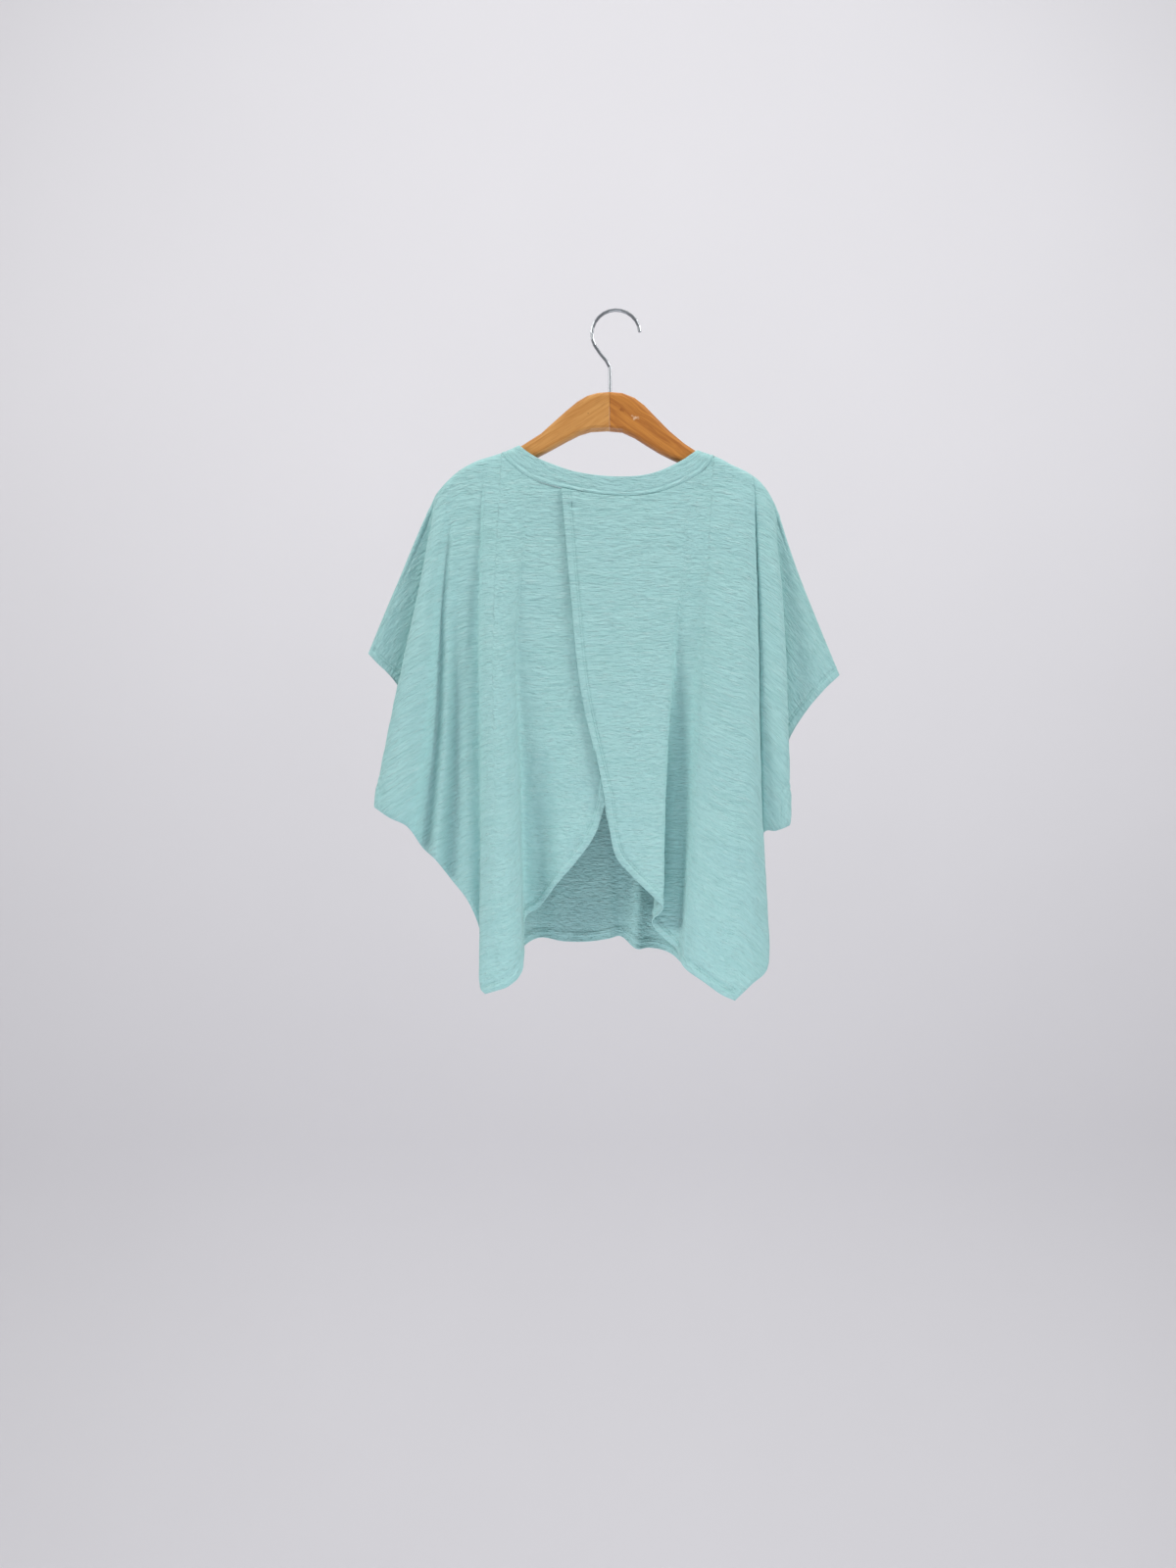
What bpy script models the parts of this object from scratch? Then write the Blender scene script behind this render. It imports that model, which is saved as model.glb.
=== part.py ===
"""A boxy t-shirt with its sleeves cut in one, hanging by its shoulders on a wooden hanger.

The shirt is seen from its back, which is two tulip panels that overlap below the neckband.
Frame: the origin is the inside top of the hook, +X is the viewer's right, +Z is up, and the
back of the shirt faces -Y. Tables are in millimetres. A point's "out" is its distance from the
hanger's middle plane, positive on the side of the back panels.
"""
import math
from collections import namedtuple

import bmesh
import bpy
import numpy as np

MM = 0.001
NAME = "boxy_tshirt_on_hanger"

WALL = 1.6
SEAM_GAP = 0.3
SIDE_SEAM_GAP = 0.5
BAND_GAP = 0.5
BAND_GAP_ON_ARMS = 1.6
BAND_HEIGHT = 20.0

ARM_THICKNESS = 13.0
ARM_ROUNDING = 5.0
ARM_CLEARANCE = 0.5
ARM_JOINT_X = -7.2
ARM_JOINT_GAP = 0.3
ARM_END_LEFT = -196.0
ARM_END_RIGHT = 166.5

WIRE_DIAMETER = 3.8
HOOK_RADIUS = 27.0
HOOK_START_DEG = 208.0
HOOK_END_DEG = 5.0
HOOK_STEP_DEG = 14.5
SHANK_X = -6.6
SHANK_BEND_Z = -58.5
SHANK_SEAT_Z = -106.0
SHANK_HOLE_CUT = 26.0
CUTTER_SIZE = 500.0

# The cloth turns over the arms on this curve: full depth is reached ROLL_DROP below the top
ROLL_DROP = 8.0
ROLL_POWER = 2.5
ROLL_STEPS = (0.0, 0.15, 0.6, 1.6, 3.6, 8.0)
BODY_STEPS = 12
STEPS_PER_FOLD = 2

# The neck seam turns over an arm within a few millimetres, so these stretches have close points
DENSE_AT_END = np.array((0.0, 0.4, 0.7, 0.88, 0.95, 0.985))
DENSE_AT_START = np.array((0.0, 0.015, 0.05, 0.12, 0.3, 0.6))
BEFORE_NECK_CORNER = ("column_face_right", "pleat_wall", "front_panel")
AFTER_NECK_CORNER = ("neck_left",)
# Folds of the front that end on a sleeve's opening, where front and back stay apart
OPENING_FOLDS = ("sleeve_top", "flap_end", "flap", "opening", "opening_low")

# Line over which the cloth hangs, from one sleeve tip seam over both arms to the other: x, z
SHOULDER_LINE = [
    (-213, -231), (-207.4, -220), (-202, -209), (-194.2, -198.6), (-185.4, -189.2),
    (-174.4, -179.9), (-163.4, -173.3), (-152.4, -168.3), (-141.4, -165), (-128, -160.6),
    (-108, -152), (-95.5, -144), (-84.3, -137), (-70.3, -124.3), (-56.2, -111.7),
    (-43.6, -101.2), (-32.5, -94.6), (-21, -91.3), (-7.2, -90.2), (6.9, -91.3),
    (21, -96.8), (32.2, -105.4), (46.2, -119.9), (60.3, -134.2), (77, -148.2), (91, -157.4),
    (109.5, -163.9), (119.4, -168.3), (128.2, -173.3), (139.2, -178.2), (150.2, -184.3),
    (161.2, -193.1), (171, -206.3), (177.7, -218.9), (184.3, -234.3),
]

# Underside of the hanger's arms, from end to end: x, z
ARM_UNDERSIDE = [
    (-192, -209.5), (-183, -209.5), (-170, -202), (-150, -191.5), (-128, -182), (-110, -174.5),
    (-90, -165), (-73, -156), (-56, -146.7), (-41, -139), (-28, -135), (-10, -134), (7, -135.5),
    (21, -142), (35, -151), (49, -159.5), (63, -166.5), (90, -178.5), (109, -186), (128, -195),
    (144, -205), (154, -212), (162, -213),
]

# Neck seams between the two shoulder points, back and front: x, z
NECK_LEFT_X = -128.0
NECK_RIGHT_X = 109.5
BACK_NECK = [
    (-128, -160.6), (-124, -167), (-114, -177), (-101, -187), (-88, -193), (-68, -199),
    (-40, -205), (-10, -209), (20, -210), (50, -205), (80, -192), (98, -179.5), (106, -170),
    (109.5, -163.9),
]
FRONT_NECK = [
    (-128, -160.6), (-122, -186), (-116, -200.5), (-98, -226), (-70, -246), (-40, -255),
    (-9, -258), (22, -255), (52, -246), (74, -232), (92, -210.5), (103, -188),
    (109.5, -163.9),
]

# Each row is one fold line of the hanging cloth, from the top edge to the foot of the panel.
# The foot lies on the hem, then on the side seam, then on the sleeve's opening.
Fold = namedtuple(
    "Fold", "name top_x upper_x lower_x foot_x foot_z top_out upper_out lower_out foot_out"
)
BACK_LEFT_FOLDS = [
    Fold("under_edge", 47, 26, 6, -12, -552, 10, 12, 17, 24),
    Fold("tulip_a", 21, 6, -10, -23, -585, 10, 12.5, 18, 25),
    Fold("tulip_b", -10, -22, -35, -42, -613, 10, 13, 19, 25),
    Fold("tulip_c", -40, -49, -57, -65, -640, 10, 13.5, 19, 24),
    Fold("hollow", -68, -78, -85, -85, -667, 10, 13, 15, 14),
    Fold("column_root_right", -88, -105, -105, -102, -681, 10, 14, 14, 12),
    Fold("column_right", -101, -114, -109, -104, -734, 10, 20, 32, 42),
    Fold("column_face_right", -114, -125, -119, -116, -748, 9.5, 25, 40, 49),
    Fold("column_face_left", -128, -136, -133, -131, -754, 8.5, 26, 41, 49),
    Fold("corner", -135, -145, -142, -143, -758, 8.5, 24, 38, 45),
    Fold("column_left", -143, -151, -147, -149, -745, 8.5, 20, 32, 40),
    Fold("column_root_left", -150, -154, -151, -149, -698, 8.5, 16, 20, 24),
    Fold("ridge_c", -158, -166, -167, -166, -661, 8.5, 16, 20, 26),
    Fold("valley_b", -165, -177, -179, -183, -638, 8.5, 15, 15, 17),
    Fold("ridge_b", -172, -189, -193, -199, -614, 8.5, 18, 24, 30),
    Fold("valley_a", -180, -197, -207, -218, -602, 8.5, 16, 17, 19),
    Fold("ridge_a", -187, -205, -219, -234, -577, 8.5, 20, 27, 32),
    Fold("fan_face", -192, -212, -232, -249, -567, 8, 21, 28, 33),
    Fold("fan_edge", -197, -219, -243, -266, -556, 7, 17, 22, 26),
    Fold("fan_return", -200, -217, -239, -258, -530, 6, 12, 16, 20),
    Fold("flap_valley", -204, -212, -228, -240, -478, 4, 6, 8, 10),
    Fold("flap", -207, -223, -233, -241, -424, 3.5, 4, 5, 5),
    Fold("flap_end", -210, -234, -253, -266, -396, 3, 3.5, 4, 3.5),
    Fold("sleeve_top", -213, -235, -257, -278, -384, 0.15, 0.15, 0.15, 0.15),
]
BACK_RIGHT_FOLDS = [
    Fold("wrap_edge", -61, -51, -39, -13, -544, 12.6, 15.5, 21, 29),
    Fold("wrap_turn", -52, -41, -28, -8, -580, 12.6, 16, 22, 30),
    Fold("wrap_a", -38, -28, -15, -1, -609, 12.6, 16.5, 23, 32),
    Fold("wrap_b", -14, -5, 4, 14, -628, 12.6, 18, 26, 35),
    Fold("wrap_c", 18, 19, 22, 28, -642, 12.6, 19.5, 28, 38),
    Fold("wrap_d", 50, 42, 40, 41, -655, 12.2, 20.5, 29, 40),
    Fold("wrap_fold", 80, 63, 54, 50, -667, 10.5, 19, 28, 37),
    Fold("pleat_back", 90, 70, 53, 40, -686, 10, 16, 15, 9),
    Fold("pleat_floor", 98, 78, 65, 55, -704, 9, 16, 16, 13),
    Fold("pleat_wall", 104, 87, 77, 66, -714, 8.5, 18, 22, 22),
    Fold("panel_left", 109.5, 97, 86, 72, -730, 8.5, 22, 32, 40),
    Fold("panel_a", 119, 112, 104, 95, -745, 8.5, 25, 38, 50),
    Fold("panel_b", 127, 127, 122, 112, -757, 8.5, 26, 40, 53),
    Fold("corner", 136, 140, 140, 127, -764, 8.5, 25, 38, 52),
    Fold("panel_turn", 144, 149, 152, 146, -747, 8.5, 22, 34, 48),
    Fold("panel_edge", 150, 155, 158, 164, -731, 8.5, 18, 27, 40),
    Fold("crevice", 154, 158, 158, 161, -644, 8.5, 10, 12, 16),
    Fold("outer_left", 159, 163, 163, 163, -584, 8.5, 10, 12, 13),
    Fold("outer_face", 163, 171, 175, 176, -582, 8, 15.5, 19, 20),
    Fold("outer_turn", 168, 179, 184, 185, -579, 7, 17, 21, 22),
    Fold("outer_edge", 172, 184, 189, 192, -576, 6, 14, 17, 18),
    Fold("outer_return", 175, 183, 186, 190, -548, 5, 10, 12, 14),
    Fold("flap_valley", 178, 181, 183, 184, -508, 4, 5.5, 7, 8),
    Fold("flap", 180, 188, 193, 196, -473, 3.5, 4, 5, 5),
    Fold("flap_end", 182, 200, 218, 233, -425, 3, 3.5, 4, 3.5),
    Fold("sleeve_top", 184.3, 204, 227, 251, -408, 0.15, 0.15, 0.15, 0.15),
]

# The front has the same foot points along the seams, but hangs nearly flat above them
FRONT_LEFT_FOLDS = [
    Fold("sleeve_top", -213, -235, -257, -278, -384, -0.15, -0.15, -0.15, -0.15),
    Fold("flap_end", -210, -232, -251, -266, -396, -3, -4, -5, -4.5),
    Fold("flap", -206, -223, -236, -243, -426, -4, -6, -7, -7),
    Fold("opening", -201, -213, -226, -243, -478, -6, -7, -7, -1),
    Fold("opening_low", -196, -205, -217, -258, -530, -7, -8, -4, 11),
    Fold("fan_edge", -190, -198, -210, -260, -556, -8, -9, -8, 10),
    Fold("fan_face", -185, -192, -204, -249, -567, -8.5, -11, -8, 24),
    Fold("ridge_a", -179, -186, -196, -234, -577, -8.5, -12, -8, 22),
    Fold("valley_a", -173, -180, -188, -218, -602, -8.5, -12, -10, 10),
    Fold("ridge_b", -167, -174, -181, -199, -614, -8.5, -11, -6, 18),
    Fold("valley_b", -161, -167, -173, -183, -638, -8.5, -11, -8, 8),
    Fold("ridge_c", -155, -161, -165, -166, -661, -8.5, -12, -6, 16),
    Fold("column_root_left", -148, -154, -157, -149, -698, -8.5, -12, -6, 16),
    Fold("column_left", -141, -148, -151, -149, -745, -8.5, -11, -2, 28),
    Fold("corner", -134, -142, -144, -143, -758, -8.5, -9, 0, 34),
]
FRONT_MIDDLE_FOLDS = [
    Fold("neck_left", -128, -134, -133, -133, -751, -8.5, -8.5, 2, 34),
    Fold("front_column", -122, -124, -121, -122, -741, -9.5, -9, 0, 22),
    Fold("front_root_left", -116, -112, -108, -106, -716, -11, -15, -13, -6),
    Fold("front_a", -98, -97, -92, -88, -705, -12, -17, -18, -15),
    Fold("front_b", -70, -68, -64, -60, -708, -12, -12, -11, -9),
    Fold("front_c", -40, -39, -36, -32, -709, -12.5, -15, -15, -13),
    Fold("front_d", -9, -10, -9, -7, -705, -12.5, -12, -11, -9),
    Fold("front_hollow", 22, 12, 8, 6, -703, -12.5, -15, -15, -13),
    Fold("front_ridge", 52, 32, 26, 23, -716, -12, -11, -9, -4),
    Fold("front_tuck", 74, 50, 42, 39, -716, -12, -15, -16, -14),
    Fold("front_root_right", 92, 74, 66, 62, -722, -11, -15, -15, -11),
    Fold("front_panel", 103, 90, 84, 82, -739, -9.5, -9, -2, 14),
    Fold("neck_right", 109.5, 106, 102, 104, -752, -8.5, -9, 1, 30),
    Fold("front_shoulder", 122, 122, 119, 117, -760, -8.5, -9, 2, 36),
]
FRONT_RIGHT_FOLDS = [
    Fold("corner", 134, 135, 132, 127, -764, -8.5, -10, 2, 40),
    Fold("panel_turn", 141, 142, 142, 146, -747, -8.5, -11, 0, 36),
    Fold("panel_edge", 147, 148, 149, 164, -731, -8.5, -11, -3, 28),
    Fold("crevice", 152, 153, 154, 161, -644, -8.5, -11, -8, 6),
    Fold("outer_left", 156, 158, 160, 163, -584, -8.5, -10, -8, 4),
    Fold("outer_face", 160, 163, 167, 176, -582, -8, -9, -6, 12),
    Fold("outer_turn", 164, 167, 172, 185, -579, -8, -9, -5, 14),
    Fold("outer_edge", 168, 171, 176, 188, -576, -7, -8, -7, 4),
    Fold("opening_low", 172, 176, 181, 190, -548, -6, -7, -6, 3),
    Fold("opening", 176, 181, 187, 188, -508, -5, -6.5, -7, -4),
    Fold("flap", 179, 188, 196, 198, -475, -4, -6, -7, -7),
    Fold("flap_end", 182, 200, 218, 233, -425, -3, -4, -5, -4.5),
    Fold("sleeve_top", 184.3, 204, 227, 251, -408, -0.15, -0.15, -0.15, -0.15),
]

# Share of the way down at which the front starts to near the back, to meet it at the seam
SEAM_NEARS_FROM = 0.85

Station = namedtuple("Station", "seam_x seam_z edge_x edge_z out")
BAND_ENDS = (
    Station(-128, -160.6, -108, -152, 8.5),
    Station(109.5, -163.9, 91, -157.4, 8.5),
)
BACK_BAND = [
    Station(-124, -167, -105.5, -154.5, 8.6),
    Station(-114, -177, -98, -160.5, 9.2),
    Station(-101, -187, -87, -167.2, 9.8),
    Station(-77, -196.5, -64.5, -176.5, 10.8),
    Station(-44, -204.2, -44.5, -182.7, 11.4),
    Station(-16, -208.4, -20.5, -186.6, 11.4),
    Station(14, -209.9, 4.5, -188, 11.4),
    Station(42, -207.2, 29, -186.6, 11.4),
    Station(68, -198.5, 49, -181.3, 11),
    Station(88, -187.3, 72, -170.3, 10),
    Station(101, -176.5, 84.5, -161.8, 9),
    Station(106, -170, 88.5, -159, 8.6),
]
FRONT_BAND = [
    Station(-122, -186, -102.5, -179.5, 8.7),
    Station(-116, -200.5, -97.5, -192, 9.2),
    Station(-98, -226, -83.5, -212.5, 10.6),
    Station(-70, -246, -60, -228.8, 11.5),
    Station(-40, -255, -35, -235.8, 12),
    Station(-9, -258, -9, -238, 12),
    Station(22, -255, 17, -235.8, 12),
    Station(52, -246, 42, -228.8, 11.5),
    Station(74, -232, 60, -217.6, 10.8),
    Station(92, -210.5, 75, -200, 9.6),
    Station(103, -188, 84.5, -181, 8.7),
]


def smooth(knots, values, at):
    """Values at the places in at, on a smooth curve through values at the knots."""
    knots = np.asarray(knots, float)
    values = np.asarray(values, float)
    steps = np.diff(knots)
    shape = (-1,) + (1,) * (values.ndim - 1)
    slopes = np.diff(values, axis=0) / steps.reshape(shape)
    tangents = np.empty_like(values)
    tangents[0] = slopes[0]
    tangents[-1] = slopes[-1]
    before = steps[:-1].reshape(shape)
    after = steps[1:].reshape(shape)
    tangents[1:-1] = (after * slopes[:-1] + before * slopes[1:]) / (before + after)
    cell = np.clip(np.searchsorted(knots, at, side="right") - 1, 0, len(steps) - 1)
    t = ((at - knots[cell]) / steps[cell]).reshape(shape)
    width = steps[cell].reshape(shape)
    start = (1 + 2 * t) * (1 - t) ** 2 * values[cell]
    end = t * t * (3 - 2 * t) * values[cell + 1]
    leave = t * (1 - t) ** 2 * width * tangents[cell]
    arrive = t * t * (t - 1) * width * tangents[cell + 1]
    return start + end + leave + arrive


def height_on(line, x):
    """Height of a line given as x, z knots, straight between them."""
    knots = np.array(line, float)
    return np.interp(x, knots[:, 0], knots[:, 1])


def top_height(neck, x):
    """Height of a panel's top edge: the neck seam inside the neck, else the shoulder line."""
    inside = (x > NECK_LEFT_X) & (x < NECK_RIGHT_X)
    return np.where(inside, height_on(neck, x), height_on(SHOULDER_LINE, x))


def roll(drop):
    """Share of the full depth that cloth has reached this far below the line it hangs over."""
    rest = np.clip(1 - np.clip(drop, 0, None) / ROLL_DROP, 0, 1)
    return (1 - rest ** ROLL_POWER) ** (1 / ROLL_POWER)


def fold_path(fold, neck):
    """Points down one fold line: x, z and out at each height step."""
    top_z = float(top_height(neck, np.array(fold.top_x, float)))
    length = top_z - fold.foot_z
    near = np.array(ROLL_STEPS)
    far = ROLL_DROP + (length - ROLL_DROP) * np.linspace(0, 1, BODY_STEPS + 1)[1:]
    share = np.concatenate([near, far]) / length
    thirds = (0, 1 / 3, 2 / 3, 1)
    across = ((fold.top_x, fold.top_out), (fold.upper_x, fold.upper_out),
              (fold.lower_x, fold.lower_out), (fold.foot_x, fold.foot_out))
    x_out = smooth(thirds, across, share)
    return np.stack([x_out[:, 0], top_z - share * length, x_out[:, 1]], axis=1)


def panel_grid(folds, neck):
    """Grid of x, z, out over a panel: one column of points for each step between folds."""
    paths = np.array([fold_path(fold, neck) for fold in folds])
    spacing = np.linalg.norm(np.diff(paths, axis=0), axis=2).mean(axis=1) ** 0.5
    knots = np.concatenate([[0], np.cumsum(spacing)])
    at = []
    for index, fold in enumerate(folds[:-1]):
        shares = np.arange(STEPS_PER_FOLD) / STEPS_PER_FOLD
        if fold.name in BEFORE_NECK_CORNER:
            shares = DENSE_AT_END
        if fold.name in AFTER_NECK_CORNER:
            shares = DENSE_AT_START
        at.extend(knots[index] + shares * spacing[index])
    at.append(knots[-1])
    grid = smooth(knots, paths, np.array(at))
    edge_z = top_height(neck, grid[:, 0, 0])
    lift = edge_z - grid[:, 0, 1]
    fading = np.append(np.ones(len(ROLL_STEPS) - 1), np.linspace(1, 0, BODY_STEPS + 1) ** 2)
    grid[:, :, 1] += lift[:, None] * fading[None, :]
    return grid


def roll_over_arms(grid, side):
    """Take a grid's depth down to the seam where it meets the shoulder line; side is 1 or -1."""
    drop = height_on(SHOULDER_LINE, grid[:, :, 0]) - grid[:, :, 1]
    rolled = grid.copy()
    rolled[:, :, 2] = grid[:, :, 2] * roll(drop)
    nearest = side * SEAM_GAP / 2
    edge = rolled[:, 0, 2]
    rolled[:, 0, 2] = np.maximum(edge, nearest) if side > 0 else np.minimum(edge, nearest)
    return rolled


def inward_normals(grid, side):
    """Unit normals of half of the back, towards the inside; side is 1 for the right half."""
    along = np.gradient(grid, axis=0)
    down = np.gradient(grid, axis=1)
    normals = side * np.cross(along, down)
    return normals / np.linalg.norm(normals, axis=2, keepdims=True)


def smooth_step(x):
    """0 below 0, 1 above 1, with soft ends."""
    x = np.clip(x, 0, 1)
    return x * x * (3 - 2 * x)


def meet_at_seam(stretch, folds, back, side):
    """Columns of the front, from the middle outwards, with their foot brought to the side seam."""
    inner = (back + SIDE_SEAM_GAP * inward_normals(back, side))[-len(stretch):]
    marks = [0.0 if fold.name in OPENING_FOLDS else 1.0 for fold in folds]
    across = np.interp(np.arange(len(stretch)) / STEPS_PER_FOLD, np.arange(len(folds)), marks)
    share_down = np.linspace(0, 1, stretch.shape[1])
    down = smooth_step((share_down - SEAM_NEARS_FROM) / (1 - SEAM_NEARS_FROM))
    weight = (across[:, None] * down[None, :])[:, :, None]
    return (1 - weight) * stretch + weight * inner


def front_grid(back_left, back_right):
    """The whole front, from sleeve to sleeve, joined to the back's side seams at its foot."""
    grid = panel_grid(FRONT_LEFT_FOLDS + FRONT_MIDDLE_FOLDS + FRONT_RIGHT_FOLDS, FRONT_NECK)
    grid = roll_over_arms(grid, -1)
    left = STEPS_PER_FOLD * (len(FRONT_LEFT_FOLDS) - 1) + 1
    right = STEPS_PER_FOLD * (len(FRONT_RIGHT_FOLDS) - 1) + 1
    left_outwards = meet_at_seam(grid[:left][::-1], FRONT_LEFT_FOLDS[::-1], back_left, -1)
    grid[:left] = left_outwards[::-1]
    grid[-right:] = meet_at_seam(grid[-right:], FRONT_RIGHT_FOLDS, back_right, 1)
    return grid


def band_half(start, stations, end, neck):
    """Columns over one half of the neckband: its seam side, its middle and its upper edge."""
    values = np.array([start] + stations + [end], float)
    spacing = np.linalg.norm(np.diff(values, axis=0), axis=1) ** 0.5
    knots = np.concatenate([[0], np.cumsum(spacing)])
    shares = [np.arange(STEPS_PER_FOLD) / STEPS_PER_FOLD] * (len(values) - 3)
    shares = [DENSE_AT_START] + shares + [DENSE_AT_END]
    at = np.concatenate([knot + part * step for knot, part, step in zip(knots, shares, spacing)])
    seam_x, seam_z, edge_x, edge_z, out = smooth(knots, values, at).T
    seam_z = top_height(neck, seam_x)
    drop = height_on(SHOULDER_LINE, seam_x) - seam_z
    on_arms = np.clip(2 - drop / ROLL_DROP, 0, 1)
    gap = BAND_GAP + (BAND_GAP_ON_ARMS - BAND_GAP) * on_arms
    lines = []
    for share in (gap / BAND_HEIGHT, 0.15, 0.55, 1.0):
        x = seam_x + (edge_x - seam_x) * share
        z = seam_z + (edge_z - seam_z) * share
        lines.append(np.stack([x, z, out * roll(height_on(SHOULDER_LINE, x) - z)], axis=1))
    return np.stack(lines, axis=1)


def band_grid():
    """The neckband as a ring: along the back from left to right, then along the front."""
    left, right = BAND_ENDS
    front = [station._replace(out=-station.out) for station in reversed(FRONT_BAND)]
    along_back = band_half(left, BACK_BAND, right, BACK_NECK)
    along_front = band_half(right._replace(out=-right.out), front, left._replace(out=-left.out),
                            FRONT_NECK)
    return np.concatenate([along_back, along_front])


def make_material(name, colour, roughness, metallic=0.0):
    """A plain surface; colour is an sRGB hex code."""
    material = bpy.data.materials.new(name)
    material.use_nodes = True
    shader = material.node_tree.nodes["Principled BSDF"]
    channels = [int(colour[i:i + 2], 16) / 255 for i in (1, 3, 5)]
    linear = [c / 12.92 if c <= 0.04045 else ((c + 0.055) / 1.055) ** 2.4 for c in channels]
    shader.inputs["Base Color"].default_value = (*linear, 1)
    shader.inputs["Roughness"].default_value = roughness
    shader.inputs["Metallic"].default_value = metallic
    return material


def add_object(name, data, material, collection):
    thing = bpy.data.objects.new(name, data)
    if material:
        data.materials.append(material)
    collection.objects.link(thing)
    return thing


def make_sheet(name, grid, material, collection, turned=False, ring=False):
    """Cloth from a grid of its inside surface, made WALL thick outwards."""
    columns, rows = grid.shape[:2]
    points = [(x * MM, -out * MM, z * MM) for x, z, out in grid.reshape(-1, 3)]
    faces = []
    for column in range(columns if ring else columns - 1):
        beside = (column + 1) % columns
        for row in range(rows - 1):
            corners = (
                column * rows + row,
                column * rows + row + 1,
                beside * rows + row + 1,
                beside * rows + row,
            )
            faces.append(corners[::-1] if turned else corners)
    mesh = bpy.data.meshes.new(name)
    mesh.from_pydata(points, [], faces)
    mesh.shade_smooth()
    sheet = add_object(name, mesh, material, collection)
    solidify = sheet.modifiers.new("cloth_wall", "SOLIDIFY")
    solidify.thickness = WALL * MM
    solidify.offset = 1.0
    return sheet


def hanger_blank(collection):
    """Both arms in one piece: a flat outline with rounded edges, as a closed mesh."""
    top = [(x, z - ARM_CLEARANCE) for x, z in SHOULDER_LINE if ARM_END_LEFT < x < ARM_END_RIGHT]
    outline = top + ARM_UNDERSIDE[::-1]
    curve = bpy.data.curves.new("hanger_blank", "CURVE")
    curve.dimensions = "2D"
    curve.fill_mode = "BOTH"
    curve.extrude = (ARM_THICKNESS / 2 - ARM_ROUNDING) * MM
    curve.bevel_depth = ARM_ROUNDING * MM
    curve.bevel_resolution = 2
    curve.offset = -ARM_ROUNDING * MM
    spline = curve.splines.new("POLY")
    spline.points.add(len(outline) - 1)
    for point, (x, z) in zip(spline.points, outline):
        point.co = (x * MM, z * MM, 0, 1)
    spline.use_cyclic_u = True
    drawn = add_object("hanger_blank_curve", curve, None, collection)
    drawn.rotation_euler = (math.pi / 2, 0, 0)
    bpy.context.view_layer.update()
    evaluated = drawn.evaluated_get(bpy.context.evaluated_depsgraph_get())
    mesh = bpy.data.meshes.new_from_object(evaluated)
    mesh.transform(drawn.matrix_world)
    weld(mesh)
    bpy.data.objects.remove(drawn)
    return mesh


def weld(mesh):
    work = bmesh.new()
    work.from_mesh(mesh)
    bmesh.ops.remove_doubles(work, verts=work.verts, dist=0.00005)
    bmesh.ops.recalc_face_normals(work, faces=work.faces)
    work.to_mesh(mesh)
    work.free()


def make_cutter(name, collection):
    cutter = bpy.context.object
    cutter.name = name
    cutter.hide_render = True
    cutter.display_type = "WIRE"
    for home in cutter.users_collection:
        home.objects.unlink(cutter)
    collection.objects.link(cutter)
    return cutter


def side_cutter(name, side, collection):
    """A box over all that lies beyond the arms' glued joint, on one side of it."""
    face = ARM_JOINT_X - side * ARM_JOINT_GAP / 2
    centre = (face + side * CUTTER_SIZE / 2, 0, SHANK_SEAT_Z)
    bpy.ops.mesh.primitive_cube_add(
        size=CUTTER_SIZE * MM, location=[place * MM for place in centre]
    )
    return make_cutter(name, collection)


def shank_hole(collection):
    """The bore that the hook's shank sits in, open at the hanger's top."""
    top_z = SHANK_SEAT_Z + SHANK_HOLE_CUT
    bottom_z = SHANK_SEAT_Z - SEAM_GAP
    bpy.ops.mesh.primitive_cylinder_add(
        vertices=24,
        radius=(WIRE_DIAMETER / 2 + SEAM_GAP) * MM,
        depth=(top_z - bottom_z) * MM,
        location=(SHANK_X * MM, 0, (top_z + bottom_z) / 2 * MM),
    )
    return make_cutter("shank_hole", collection)


def make_arm(name, blank, cutters, material, collection):
    arm = add_object(name, blank.copy(), material, collection)
    for cutter in cutters:
        cut = arm.modifiers.new(cutter.name, "BOOLEAN")
        cut.operation = "DIFFERENCE"
        cut.object = cutter
    return arm


def hook_points():
    """The wire's centreline: a straight shank, a bend and most of a circle, as x and z."""
    centre_z = WIRE_DIAMETER / 2 - HOOK_RADIUS
    angles = np.radians(np.arange(HOOK_START_DEG, HOOK_END_DEG - 1, -HOOK_STEP_DEG))
    arc = [(HOOK_RADIUS * math.cos(a), centre_z + HOOK_RADIUS * math.sin(a)) for a in angles]
    shank = [
        (SHANK_X, SHANK_SEAT_Z), (SHANK_X, SHANK_SEAT_Z + 14), (SHANK_X, SHANK_BEND_Z - 14),
        (SHANK_X - 0.4, SHANK_BEND_Z - 4), (SHANK_X - 4, SHANK_BEND_Z + 3),
        (SHANK_X - 11, SHANK_BEND_Z + 11.5),
    ]
    return shank + arc


def make_hook(material, collection):
    points = hook_points()
    curve = bpy.data.curves.new("hanger_hook", "CURVE")
    curve.dimensions = "3D"
    curve.bevel_depth = WIRE_DIAMETER / 2 * MM
    curve.bevel_resolution = 3
    curve.use_fill_caps = True
    spline = curve.splines.new("POLY")
    spline.points.add(len(points) - 1)
    for point, (x, z) in zip(spline.points, points):
        point.co = (x * MM, 0, z * MM, 1)
    spline.use_smooth = True
    return add_object("hanger_hook", curve, material, collection)


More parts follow.
